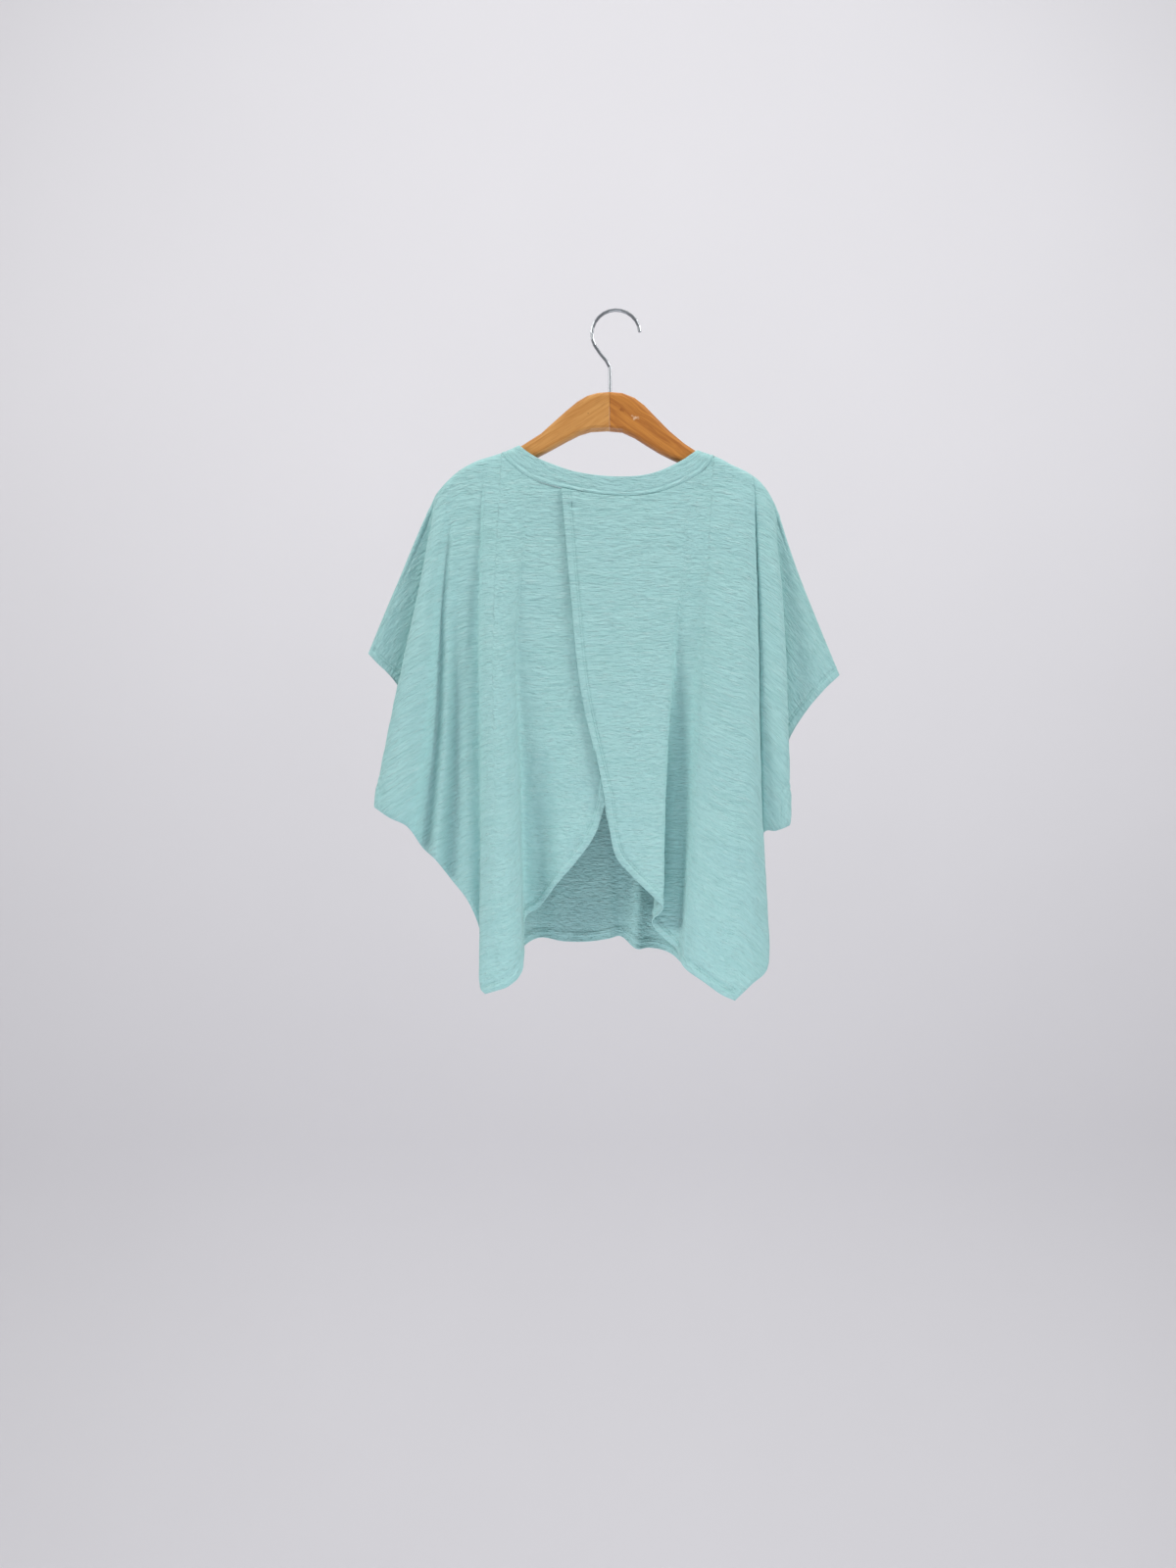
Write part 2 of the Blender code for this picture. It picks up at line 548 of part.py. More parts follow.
def main():
    for thing in list(bpy.data.objects):
        bpy.data.objects.remove(thing)
    shirt = bpy.data.collections.new(NAME)
    cutters = bpy.data.collections.new("cutters")
    bpy.context.scene.collection.children.link(shirt)
    bpy.context.scene.collection.children.link(cutters)
    knit = make_material("mint_slub_cotton_knit", "#9CCBC8", 0.9)
    light_wood = make_material("varnished_light_wood", "#CC9350", 0.35)
    dark_wood = make_material("varnished_dark_wood", "#B8742F", 0.35)
    chrome = make_material("chrome_plated_wire", "#C9CBCD", 0.15, 1.0)

    back_left = roll_over_arms(panel_grid(BACK_LEFT_FOLDS, BACK_NECK), 1)
    back_right = roll_over_arms(panel_grid(BACK_RIGHT_FOLDS, BACK_NECK), 1)
    make_sheet("back_left", back_left, knit, shirt, turned=True)
    make_sheet("back_right", back_right, knit, shirt)
    make_sheet("front", front_grid(back_left, back_right), knit, shirt, turned=True)
    make_sheet("neckband", band_grid(), knit, shirt, turned=True, ring=True)

    blank = hanger_blank(cutters)
    hole = shank_hole(cutters)
    beyond_left = side_cutter("beyond_left_arm", 1, cutters)
    beyond_right = side_cutter("beyond_right_arm", -1, cutters)
    make_arm("hanger_arm_left", blank, (beyond_left, hole), light_wood, shirt)
    make_arm("hanger_arm_right", blank, (beyond_right, hole), dark_wood, shirt)
    make_hook(chrome, shirt)


main()
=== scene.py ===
"""A boxy t-shirt in mint slub cotton on a wooden hanger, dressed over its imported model.

Tables are in millimetres. +X is the viewer's right and +Z is up. A point's "out" is its distance
from the hanger's middle plane, positive on the side of the shirt's back, which faces the viewer.
"""
import math
from collections import namedtuple

import bmesh
import bpy
import numpy as np
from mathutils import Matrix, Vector, noise
from mathutils.kdtree import KDTree


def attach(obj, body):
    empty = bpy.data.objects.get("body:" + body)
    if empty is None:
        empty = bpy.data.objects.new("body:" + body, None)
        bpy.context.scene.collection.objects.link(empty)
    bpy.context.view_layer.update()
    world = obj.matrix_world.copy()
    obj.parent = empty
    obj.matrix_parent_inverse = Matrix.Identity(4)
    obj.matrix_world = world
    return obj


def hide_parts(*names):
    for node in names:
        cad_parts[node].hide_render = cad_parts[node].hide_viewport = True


MM = 0.001

# The cloth turns over the arms on this curve: full depth is reached ROLL_DROP below the top
ROLL_DROP = 8.0
ROLL_POWER = 2.5
# Folds just before and after a corner of the neck, where the columns of points are crowded
BEFORE_NECK_CORNER = ("column_face_right", "pleat_wall", "front_panel")
AFTER_NECK_CORNER = ("neck_left",)
# Folds of the front that end at a sleeve's opening, so their foot isn't sewn to the back
OPENING_FOLDS = ("sleeve_top", "flap_end", "flap", "opening", "opening_low")
# Folds whose foot is a corner of the cut: the underarm points, and hem meeting side seam. The
# corners are sharp from this share of the way down.
CORNER_FOLDS = ("fan_edge", "corner", "outer_edge")
CORNERS_FROM = 0.9
# The bend of the neck corner is soft over this width and gone at this depth below the top
NECK_CORNER_SOFTNESS = 9.0
NECK_CORNER_DEPTH = 45.0
# The neckband's height, its columns between two stations and the shares of its height of its rows
BAND_HEIGHT = 20.0
BAND_STEPS = 14
BAND_ROWS = (0, 0.005, 0.02, 0.05, 0.09, 0.13, 0.17, 0.2, 0.23, 0.26, 0.3, 0.36, 0.44, 0.54, 0.64,
             0.74, 0.83, 0.9, 0.945, 0.975, 0.993, 1)
# A stitch's length, width and height, the length it takes with its gap, the fewest places that
# make a row, and the gap at which a row is taken to end
STITCH_SIZE = (2.6, 0.5, 0.45)
STITCH_PITCH = 3.2
STITCH_ROW = 8
STITCH_JUMP = 14.0
# The camera's place in metres, its lens and sensor in millimetres
CAMERA_PLACE = (-0.03135, -1.33, -0.5302)
CAMERA_LENS = 27.2
CAMERA_SENSOR = 36
# The sweep of floor and backdrop, in metres, and how strongly the air around it glows
FLOOR_Z = -2.3
BACKDROP_Y = 1.9
SWEEP_NEAR_Y = -4
SWEEP_TOP_Z = 2.5
SWEEP_HALF_WIDTH = 6
SWEEP_BEND = 0.8
AIR = 0.28
# Round soft lights: name, place, what they aim at, width in metres, power in watts, colour
LIGHTS = (
    ("key_left", (-2.4, -1.25, 1.6), (0, 0, -0.45), 1.2, 71, "#FFFDFA"),
    ("key_right", (2.4, -1.15, 1.6), (0, 0, -0.45), 1.2, 72, "#FFFEFC"),
    ("overhead", (0.1, -1.0, 2.4), (0, 0, -0.3), 1.2, 10, "#FFFFFF"),
    ("fill_low", (-0.03, -0.75, -1.42), (-0.02, 0, -0.66), 0.6, 5.7, "#F6F8FF"),
    ("backdrop_wash", (0, 0.5, 2.4), (0, 1.9, -0.9), 2.6, 12, "#FFFFFF"),
)
# Line over which the cloth hangs, from one sleeve tip seam over both arms to the other: x, z
SHOULDER_LINE = [
    (-213, -231), (-207.4, -220), (-202, -209), (-194.2, -198.6), (-185.4, -189.2),
    (-174.4, -179.9), (-163.4, -173.3), (-152.4, -168.3), (-141.4, -165), (-128, -160.6),
    (-108, -152), (-95.5, -144), (-84.3, -137), (-70.3, -124.3), (-56.2, -111.7),
    (-43.6, -101.2), (-32.5, -94.6), (-21, -91.3), (-7.2, -90.2), (6.9, -91.3),
    (21, -96.8), (32.2, -105.4), (46.2, -119.9), (60.3, -134.2), (77, -148.2), (91, -157.4),
    (109.5, -163.9), (119.4, -168.3), (128.2, -173.3), (139.2, -178.2), (150.2, -184.3),
    (161.2, -193.1), (171, -206.3), (177.7, -218.9), (184.3, -234.3),
]

# Neck seams between the two shoulder points, back and front: x, z
NECK_LEFT_X = -128.0
NECK_RIGHT_X = 109.5
BACK_NECK = [
    (-128, -160.6), (-124, -167), (-114, -177), (-101, -187), (-88, -193), (-68, -199),
    (-40, -205), (-10, -209), (20, -210), (50, -205), (80, -192), (98, -179.5), (106, -170),
    (109.5, -163.9),
]
FRONT_NECK = [
    (-128, -160.6), (-122, -186), (-116, -200.5), (-98, -226), (-70, -246), (-40, -255),
    (-9, -258), (22, -255), (52, -246), (74, -232), (92, -210.5), (103, -188),
    (109.5, -163.9),
]

# Each row is one fold line of the hanging cloth, from the top edge to the foot of the panel.
# The foot lies on the hem, then on the side seam, then on the sleeve's opening.
Fold = namedtuple(
    "Fold", "name top_x upper_x lower_x foot_x foot_z top_out upper_out lower_out foot_out"
)
BACK_LEFT_FOLDS = [Fold(*row) for row in (
    ("under_edge", 47, 26, 6, -12, -552, 10, 12, 17, 24),
    ("tulip_a", 21, 6, -10, -23, -585, 10, 12.5, 18, 25),
    ("tulip_b", -10, -22, -35, -42, -613, 10, 13, 19, 25),
    ("tulip_c", -40, -49, -57, -65, -640, 10, 13.5, 19, 24),
    ("hollow", -68, -78, -85, -85, -667, 10, 12, 13, 12.5),
    ("column_root_right", -88, -105, -105, -102, -681, 10, 14, 14, 12),
    ("column_right", -101, -114, -109, -104, -734, 10, 20, 32, 42),
    ("column_face_right", -114, -125, -119, -116, -748, 9.5, 25, 40, 49),
    ("column_face_left", -128, -136, -133, -131, -754, 8.5, 26, 41, 49),
    ("corner", -135, -145, -142, -143, -758, 8.5, 24, 38, 45),
    ("column_left", -143, -150, -147, -148.5, -752, 8.5, 20, 32, 41),
    ("column_root_left", -149, -153, -150.5, -149.5, -700, 7.8, 9.5, 11, 15),
    ("ridge_c", -158, -166, -165, -164, -661, 8, 9.5, 11, 16),
    ("valley_b", -165, -177, -178, -183, -638, 8, 8.5, 6.5, 7.5),
    ("ridge_b", -172, -187, -190, -200, -614, 8.2, 12, 15, 20),
    ("valley_a", -180, -194, -200, -215, -602, 8, 9, 8, 9.5),
    ("ridge_a", -187, -203, -213, -230, -577, 8.5, 18, 24, 29),
    ("fan_face", -192, -211, -231, -249, -567, 8, 21.5, 30, 34),
    ("fan_edge", -197, -218.5, -242.5, -266, -556, 7, 19, 26, 29),
    ("fan_return", -200, -217, -239, -258, -530, 6, 12, 16, 20),
    ("flap_valley", -204, -212, -228, -240, -478, 3, 1.5, 1, 4),
    ("flap", -207, -223, -233, -241, -424, 2, 0, -1, -1),
    ("flap_end", -210.5, -234, -254, -267.5, -395, 2.5, 2, 1.5, 1.5),
    ("sleeve_top", -213, -235, -257, -278, -384, 0.15, 0.15, 0.15, 0.15),
)]
BACK_RIGHT_FOLDS = [Fold(*row) for row in (
    ("wrap_edge", -61, -51, -39, -13, -544, 12.6, 15.5, 21, 29),
    ("wrap_turn", -52, -41, -28, -8, -580, 12.6, 16, 22, 30),
    ("wrap_a", -38, -28, -15, -1, -609, 12.6, 16.5, 23, 32),
    ("wrap_b", -14, -5, 4, 14, -628, 12.6, 18, 26, 35),
    ("wrap_c", 18, 19, 22, 28, -642, 12.6, 19.5, 28, 38),
    ("wrap_d", 50, 42, 40, 41, -655, 12.2, 20.5, 29, 40),
    ("wrap_fold", 80, 63, 54, 50, -667, 10.5, 19, 28, 37),
    ("pleat_back", 90, 70, 54, 40, -686, 10, 15.5, 9, 6),
    ("pleat_floor", 98, 78, 67, 56, -704, 8.8, 15, 7.5, 8),
    ("pleat_wall", 104, 88, 80, 68, -714, 8.5, 17, 15, 16),
    ("panel_left", 109.5, 98, 88, 74, -730, 8.5, 21.5, 31.5, 40),
    ("panel_a", 119, 112, 104, 95, -745, 8.5, 25, 38, 50),
    ("panel_b", 127, 127, 122, 112, -757, 8.5, 26, 40, 53),
    ("corner", 136, 140, 140, 127, -764, 8.5, 25, 38, 52),
    ("panel_turn", 144, 149, 152, 146, -747, 8.5, 22, 34, 48),
    ("panel_edge", 150, 155, 158, 164, -731, 8.5, 18, 27, 40),
    ("crevice", 154, 158.5, 160, 162, -644, 7.7, 4.5, 4.5, 11),
    ("outer_left", 158.5, 162, 163, 163.5, -584, 7.8, 13, 16.5, 17),
    ("outer_face", 163, 171, 175, 176, -582, 8, 15.5, 19, 20),
    ("outer_turn", 168, 179, 184, 185, -579, 7, 16.5, 20.5, 21),
    ("outer_edge", 172, 184, 189, 192, -576, 6, 14.5, 18, 19),
    ("outer_return", 175, 183, 186, 190, -548, 5, 10, 12, 14),
    ("flap_valley", 178, 181, 183, 184, -508, 4, 2.5, 2, 4),
    ("flap", 180, 188, 193, 196, -473, 3, 0.5, -0.5, 0),
    ("flap_end", 182, 200, 218, 233, -425, 2.5, 2, 1.5, 1.5),
    ("sleeve_top", 184.3, 204, 227, 251, -408, 0.15, 0.15, 0.15, 0.15),
)]

# The front has the same foot points along the seams, but hangs nearly flat above them
FRONT_LEFT_FOLDS = [Fold(*row) for row in (
    ("sleeve_top", -213, -235, -257, -278, -384, -0.15, -0.15, -0.15, -0.15),
    ("flap_end", -210, -232, -251, -266, -396, -3, -4, -5, -4.5),
    ("flap", -206, -223, -236, -243, -426, -4, -6, -7, -7),
    ("opening", -201, -213, -226, -243, -478, -6, -7, -7, -1),
    ("opening_low", -196, -205, -217, -258, -530, -7, -8, -4, 11),
    ("fan_edge", -190, -198, -210, -260, -556, -8, -9, -8, 10),
    ("fan_face", -185, -192, -204, -249, -567, -8.5, -11, -8, 24),
    ("ridge_a", -179, -186, -196, -234, -577, -8.5, -12, -8, 22),
    ("valley_a", -173, -180, -188, -218, -602, -8.5, -12, -11, 2),
    ("ridge_b", -167, -174, -181, -199, -614, -8.5, -12, -11, 8),
    ("valley_b", -161, -167, -173, -183, -638, -8.5, -12, -12, -2),
    ("ridge_c", -155, -161, -165, -166, -661, -8.5, -12, -12, 6),
    ("column_root_left", -148, -154, -157, -149, -700, -8.5, -12, -12, 6),
    ("column_left", -141, -148, -151, -149, -745, -8.5, -11, -2, 28),
    ("corner", -134, -142, -144, -143, -758, -8.5, -9, 0, 34),
)]
FRONT_MIDDLE_FOLDS = [Fold(*row) for row in (
    ("neck_left", -128, -134, -133, -133, -751, -8.5, -8.5, 2, 34),
    ("front_column", -122, -124, -121, -122, -741, -9.5, -9, 0, 22),
    ("front_root_left", -116, -112, -108, -106, -716, -11, -15, -13, -6),
    ("front_a", -98, -97, -92, -88, -705, -12, -17, -18, -15),
    ("front_b", -70, -68, -64, -60, -708, -12, -12, -11, -9),
    ("front_c", -40, -39, -36, -32, -709, -12.5, -15, -15, -13),
    ("front_d", -9, -10, -9, -7, -705, -12.5, -12, -11, -9),
    ("front_hollow", 22, 12, 8, 6, -703, -12.5, -15, -15, -13),
    ("front_ridge", 52, 32, 26, 23, -716, -12, -11, -9, -4),
    ("front_tuck", 74, 50, 42, 39, -716, -12, -15, -16, -14),
    ("front_root_right", 92, 74, 66, 62, -722, -11, -15, -15, -11),
    ("front_panel", 103, 90, 84, 82, -739, -9.5, -9, -2, 14),
    ("neck_right", 109.5, 106, 102, 104, -752, -8.5, -9, 1, 30),
    ("front_shoulder", 122, 122, 119, 117, -760, -8.5, -9, 2, 36),
)]
FRONT_RIGHT_FOLDS = [Fold(*row) for row in (
    ("corner", 134, 135, 132, 127, -764, -8.5, -10, 2, 40),
    ("panel_turn", 141, 142, 142, 146, -747, -8.5, -11, 0, 36),
    ("panel_edge", 147, 148, 149, 164, -731, -8.5, -11, -3, 28),
    ("crevice", 152, 153, 154, 161, -644, -8.5, -11, -8, 6),
    ("outer_left", 156, 158, 160, 163, -584, -8.5, -10, -8, 4),
    ("outer_face", 160, 163, 167, 176, -582, -8, -9, -6, 12),
    ("outer_turn", 164, 167, 172, 185, -579, -8, -9, -5, 14),
    ("outer_edge", 168, 171, 176, 188, -576, -7, -8, -7, 4),
    ("opening_low", 172, 176, 181, 190, -548, -6, -7, -6, 3),
    ("opening", 176, 181, 187, 188, -508, -5, -6.5, -7, -4),
    ("flap", 179, 188, 196, 198, -475, -4, -6, -7, -7),
    ("flap_end", 182, 200, 218, 233, -425, -3, -4, -5, -4.5),
    ("sleeve_top", 184.3, 204, 227, 251, -408, -0.15, -0.15, -0.15, -0.15),
)]

# Share of the way down at which the front starts to near the back, to meet it at the seam
SEAM_NEARS_FROM = 0.85

Station = namedtuple("Station", "seam_x seam_z edge_x edge_z out")
BAND_ENDS = [Station(*row) for row in (
    (-128, -160.6, -108, -152, 8.5),
    (109.5, -163.9, 91, -157.4, 8.5),
)]
BACK_BAND = [Station(*row) for row in (
    (-124, -167, -105.5, -154.5, 8.6),
    (-114, -177, -98, -160.5, 9.2),
    (-101, -187, -87, -167.2, 9.8),
    (-77, -196.5, -64.5, -176.5, 10.8),
    (-44, -204.2, -44.5, -182.7, 11.4),
    (-16, -208.4, -20.5, -186.6, 11.4),
    (14, -209.9, 4.5, -188, 11.4),
    (42, -207.2, 29, -186.6, 11.4),
    (68, -198.5, 49, -181.3, 11),
    (88, -187.3, 72, -170.3, 10),
    (101, -176.5, 84.5, -161.8, 9),
    (106, -170, 88.5, -159, 8.6),
)]
FRONT_BAND = [Station(*row) for row in (
    (-122, -186, -102.5, -179.5, 8.7),
    (-116, -200.5, -97.5, -192, 9.2),
    (-98, -226, -83.5, -212.5, 10.6),
    (-70, -246, -60, -228.8, 11.5),
    (-40, -255, -35, -235.8, 12),
    (-9, -258, -9, -238, 12),
    (22, -255, 17, -235.8, 12),
    (52, -246, 42, -228.8, 11.5),
    (74, -232, 60, -217.6, 10.8),
    (92, -210.5, 75, -200, 9.6),
    (103, -188, 84.5, -181, 8.7),
)]

# Columns between two fold lines, on the back and on the front, and how much they are crowded
BACK_STEPS = 10
FRONT_STEPS = 5
CROWDING = 2.2

# Heights of the rows of points below a panel's top edge and above its foot, with even rows between
TOP_ROWS = (0, 0.1, 0.35, 0.75, 1.3, 2.1, 3.2, 4.6, 6.2, 8, 10, 12.5)
FOOT_ROWS = (13, 11.8, 10.6, 9.4, 8.4, 7.4, 6.4, 5.4, 4.4, 3.4, 2.4, 1.5, 0.8, 0.35, 0.1, 0)
EVEN_ROWS = 162

# Thickness of the knit with its nap and of the folded neckband, the width over which each
# rounds off at its edges, and how far the middle of a cloth solid is from its inside
KNIT = 0.9
EDGE_ROUNDING = 0.9
BAND_KNIT = 1.5
BAND_ROUNDING = 1.2
SOLID_MIDDLE = 0.8
# A hem is turned once, so it is thicker and swells between its fold and its raw edge
HEM_DEPTH = 11.0
HEM_LAYER = 0.5
HEM_SWELL = 0.65
TWIN_NEEDLE = (7.4, 9.8)
TOPSTITCH = 4.6
# What the stitches and the seam allowance under them do to the cloth: height and width of the
# groove or ridge along the row
NEEDLE_GROOVE = (-1.05, 0.85)
TOPSTITCH_GROOVE = (-0.9, 0.9)
ALLOWANCE_RIDGE = (0.3, 1.6)
BAND_STITCH_GROOVE = (-0.5, 0.7)
BAND_SEAM_RIDGE = (0.35, 1.4)
# Unevenness of washed cloth: height, sizes across and down the cut, and a step of the seed
SWELLS = ((0.6, 46, 30, 0), (0.45, 19, 13, 7))
HEM_RIPPLE = (0.7, 17, 60, 3)
BAND_RIPPLE = (0.25, 22, 30)
# The right half's hem stands off the left half along the split
SPLIT_LIFT = 0.7

# The cut: half of the neck, the shoulder's slope, the underarm and the corner of hem and side seam
NECK_MIDDLE_X = -9.25
NECK_HALF = 118.7
NECK_TOP_Z = -161.0
SHOULDER_SLOPE = math.radians(20)
UNDERARM = (392.0, -292.0)
SIDE_CORNER = (330.0, -560.0)

# Soft creases: from and to are x, z on the shirt as seen from the back; height is + for a ridge
Crease = namedtuple("Crease", "from_x from_z to_x to_z width height")
BACK_CREASES = [Crease(*row) for row in (
    (-40, -300, -62, -420, 7, -0.5),
    (-22, -330, -35, -470, 9, 0.6),
    (-75, -560, -62, -642, 4, -0.8),
    (-58, -600, -50, -630, 4, 0.6),
    (-30, -520, -46, -590, 6, -0.6),
    (-88, -480, -90, -640, 5, 0.6),
    (-150, -330, -168, -470, 5, -0.7),
    (-186, -300, -210, -400, 6, 0.6),
    (-206, -420, -222, -520, 5, -0.7),
    (-238, -470, -226, -560, 4, 0.6),
    (-196, -520, -208, -590, 4, -0.6),
    (-176, -560, -186, -625, 4, 0.6),
    (-140, -690, -122, -745, 5, -0.6),
    (-133, -600, -126, -700, 6, 0.5),
    (-240, -330, -258, -385, 4, -0.6),
    (-222, -300, -246, -360, 4, 0.5),
    (-57, -213, -42, -217, 2.0, 1.0),
    (-57, -219, -43, -222, 1.9, -1.2),
    (-56, -223, -44, -228, 2.2, 0.7),
    (10, -250, 2, -380, 9, 0.5),
    (32, -300, 26, -450, 8, -0.5),
    (4, -420, 16, -560, 7, -0.5),
    (36, -520, 30, -640, 5, 0.6),
    (18, -570, 34, -625, 4, -0.6),
    (92, -260, 98, -420, 9, -0.5),
    (118, -280, 124, -480, 9, 0.6),
    (104, -500, 100, -660, 7, -0.6),
    (134, -520, 140, -680, 6, 0.6),
    (112, -690, 132, -742, 5, -0.7),
    (88, -640, 96, -730, 5, 0.6),
    (176, -420, 180, -540, 4, 0.5),
    (198, -360, 218, -415, 4, -0.6),
    (206, -320, 232, -395, 4, 0.5),
)]
FRONT_CREASES = [Crease(*row) for row in (
    (-150, -240, -120, -420, 10, -1.0),
    (-175, -260, -160, -470, 9, 1.2),
    (-100, -330, -112, -520, 10, 1.0),
    (-80, -360, -70, -560, 9, -1.0),
    (-45, -300, -52, -470, 10, 0.9),
    (-28, -480, -20, -640, 8, -1.0),
    (0, -330, 6, -500, 10, -0.9),
    (10, -520, 8, -690, 7, 1.2),
    (30, -560, 34, -700, 6, -1.2),
    (56, -340, 48, -560, 9, 1.0),
    (76, -380, 78, -600, 8, -1.1),
    (100, -300, 96, -520, 9, 1.1),
    (124, -330, 118, -560, 9, -1.1),
    (146, -300, 140, -480, 7, 1.0),
    (-200, -330, -190, -500, 6, -1.0),
    (-225, -330, -246, -390, 5, 0.8),
    (-130, -520, -126, -700, 7, 1.2),
    (-96, -600, -92, -690, 5, -0.9),
    (-56, -640, -58, -700, 5, 0.9),
    (112, -600, 108, -720, 6, 1.0),
    (186, -330, 210, -400, 5, -0.8),
)]
# Small puckers under the neckband at the back: x, z, radius, depth
NECK_PUCKERS = ((-36.5, -210.2, 2.8, 1.2), (10.8, -213.2, 3.4, 1.4))


def smooth(knots, values, at):
    """Values at the places in at, on a smooth curve through values at the knots."""
    knots = np.asarray(knots, float)
    values = np.asarray(values, float)
    steps = np.diff(knots)
    shape = (-1,) + (1,) * (values.ndim - 1)
    slopes = np.diff(values, axis=0) / steps.reshape(shape)
    tangents = np.empty_like(values)
    tangents[0] = slopes[0]
    tangents[-1] = slopes[-1]
    before = steps[:-1].reshape(shape)
    after = steps[1:].reshape(shape)
    tangents[1:-1] = (after * slopes[:-1] + before * slopes[1:]) / (before + after)
    cell = np.clip(np.searchsorted(knots, at, side="right") - 1, 0, len(steps) - 1)
    shape = np.shape(at) + (1,) * (values.ndim - 1)
    t = ((at - knots[cell]) / steps[cell]).reshape(shape)
    width = steps[cell].reshape(shape)
    start = (1 + 2 * t) * (1 - t) ** 2 * values[cell]
    end = t * t * (3 - 2 * t) * values[cell + 1]
    leave = t * (1 - t) ** 2 * width * tangents[cell]
    arrive = t * t * (t - 1) * width * tangents[cell + 1]
    return start + end + leave + arrive


def height_on(line, x):
    """Height of a smooth line given as x, z knots."""
    knots = np.array(line, float)
    return smooth(knots[:, 0], knots[:, 1], np.clip(x, knots[0, 0], knots[-1, 0]))


def top_height(neck, x):
    """Height of a panel's top edge: the neck seam inside the neck, else the shoulder line."""
    inside = (x > NECK_LEFT_X) & (x < NECK_RIGHT_X)
    return np.where(inside, height_on(neck, x), height_on(SHOULDER_LINE, x))


def roll(drop):
    """Share of the full depth that cloth has reached this far below the line it hangs over."""
    rest = np.clip(1 - np.clip(drop, 0, None) / ROLL_DROP, 0, 1)
    return (1 - rest ** ROLL_POWER) ** (1 / ROLL_POWER)


def soft_step(x):
    """0 below 0, 1 above 1, with soft ends."""
    x = np.clip(x, 0, 1)
    return x * x * (3 - 2 * x)


def fold_path(fold, neck):
    """Points down one fold line: x, z and out at each row."""
    top_z = float(top_height(neck, np.array(fold.top_x, float)))
    length = top_z - fold.foot_z
    even = np.linspace(TOP_ROWS[-1], length - FOOT_ROWS[0], EVEN_ROWS)
    drops = np.concatenate([TOP_ROWS[:-1], even, length - np.array(FOOT_ROWS[1:])])
    share = drops / length
    thirds = (0, 1 / 3, 2 / 3, 1)
    across = ((fold.top_x, fold.top_out), (fold.upper_x, fold.upper_out),
              (fold.lower_x, fold.lower_out), (fold.foot_x, fold.foot_out))
    x_out = smooth(thirds, across, share)
    return np.stack([x_out[:, 0], top_z - drops, x_out[:, 1]], axis=1)


def between_folds(index, folds, steps):
    """Shares of the way to the next fold, crowded towards a neck corner or a panel's edge."""
    even = np.arange(steps) / steps
    if folds[index].name in BEFORE_NECK_CORNER or index == len(folds) - 2:
        return 1 - (1 - even) ** CROWDING
    if folds[index].name in AFTER_NECK_CORNER or index == 0:
        return even ** CROWDING
    return even


def with_corners(knots, paths, at, folds):
    """The paths read at places across them, bending sharply at the folds that end in a corner."""
    ends = [index for index, fold in enumerate(folds) if fold.name in CORNER_FOLDS]
    parts = []
    for first, last in zip([0] + ends, ends + [len(folds) - 1]):
        within = (at >= knots[first]) & (at < knots[last])
        parts.append(smooth(knots[first:last + 1], paths[first:last + 1], at[within]))
    return np.concatenate(parts + [paths[-1:]])


def panel_grid(folds, neck, steps):
    """Grid of x, z, out over a panel: columns from its first fold to its last, rows downwards."""
    paths = np.array([fold_path(fold, neck) for fold in folds])
    spacing = np.linalg.norm(np.diff(paths, axis=0), axis=2).mean(axis=1) ** 0.5
    knots = np.concatenate([[0], np.cumsum(spacing)])
    at = [knots[index] + between_folds(index, folds, steps) * spacing[index]
          for index in range(len(folds) - 1)]
    at = np.append(np.concatenate(at), knots[-1])
    grid = smooth(knots, paths, at)
    share_down = np.arange(grid.shape[1]) / (grid.shape[1] - 1)
    down = soft_step((share_down - CORNERS_FROM) / (1 - CORNERS_FROM))[None, :, None]
    grid += down * (with_corners(knots, paths, at, folds) - grid)
    lift = (top_height(neck, grid[:, 0, 0]) - grid[:, 0, 1])[:, None]
    near = np.exp(-((grid[:, 0, 0][:, None] - grid[None, :, 0, 0]) / NECK_CORNER_SOFTNESS) ** 2)
    near *= np.gradient(grid[:, 0, 0])[None, :]
    even_lift = near @ lift / near.sum(axis=1, keepdims=True)
    drop = grid[:, :1, 1] - grid[:, :, 1]
    fading = np.clip(drop - TOP_ROWS[-3], 0, None) / (drop[:, -1:] - TOP_ROWS[-3])
    grid[:, :, 1] += even_lift * (1 - fading) ** 2
    grid[:, :, 1] += (lift - even_lift) * soft_step(1 - drop / NECK_CORNER_DEPTH)
    return grid


def over_arms(grid):
    """The grid with its depth taken down to nothing where the cloth turns over the arms."""
    rolled = grid.copy()
    drop = height_on(SHOULDER_LINE, grid[:, :, 0]) - grid[:, :, 1]
    rolled[:, :, 2] *= roll(drop)
    return rolled


def in_space(grid):
    """x, z, out to x, y, z, still in millimetres."""
    return np.stack([grid[..., 0], -grid[..., 2], grid[..., 1]], axis=-1)


def normals_of(points, facing):
    """Unit normals of a grid of points; facing is the side, +Y or -Y, that most of them face."""
    normals = np.cross(np.gradient(points, axis=0), np.gradient(points, axis=1))
    normals /= np.maximum(np.linalg.norm(normals, axis=-1, keepdims=True), 1e-9)
    return normals * (facing * np.sign(normals[..., 1].mean()))


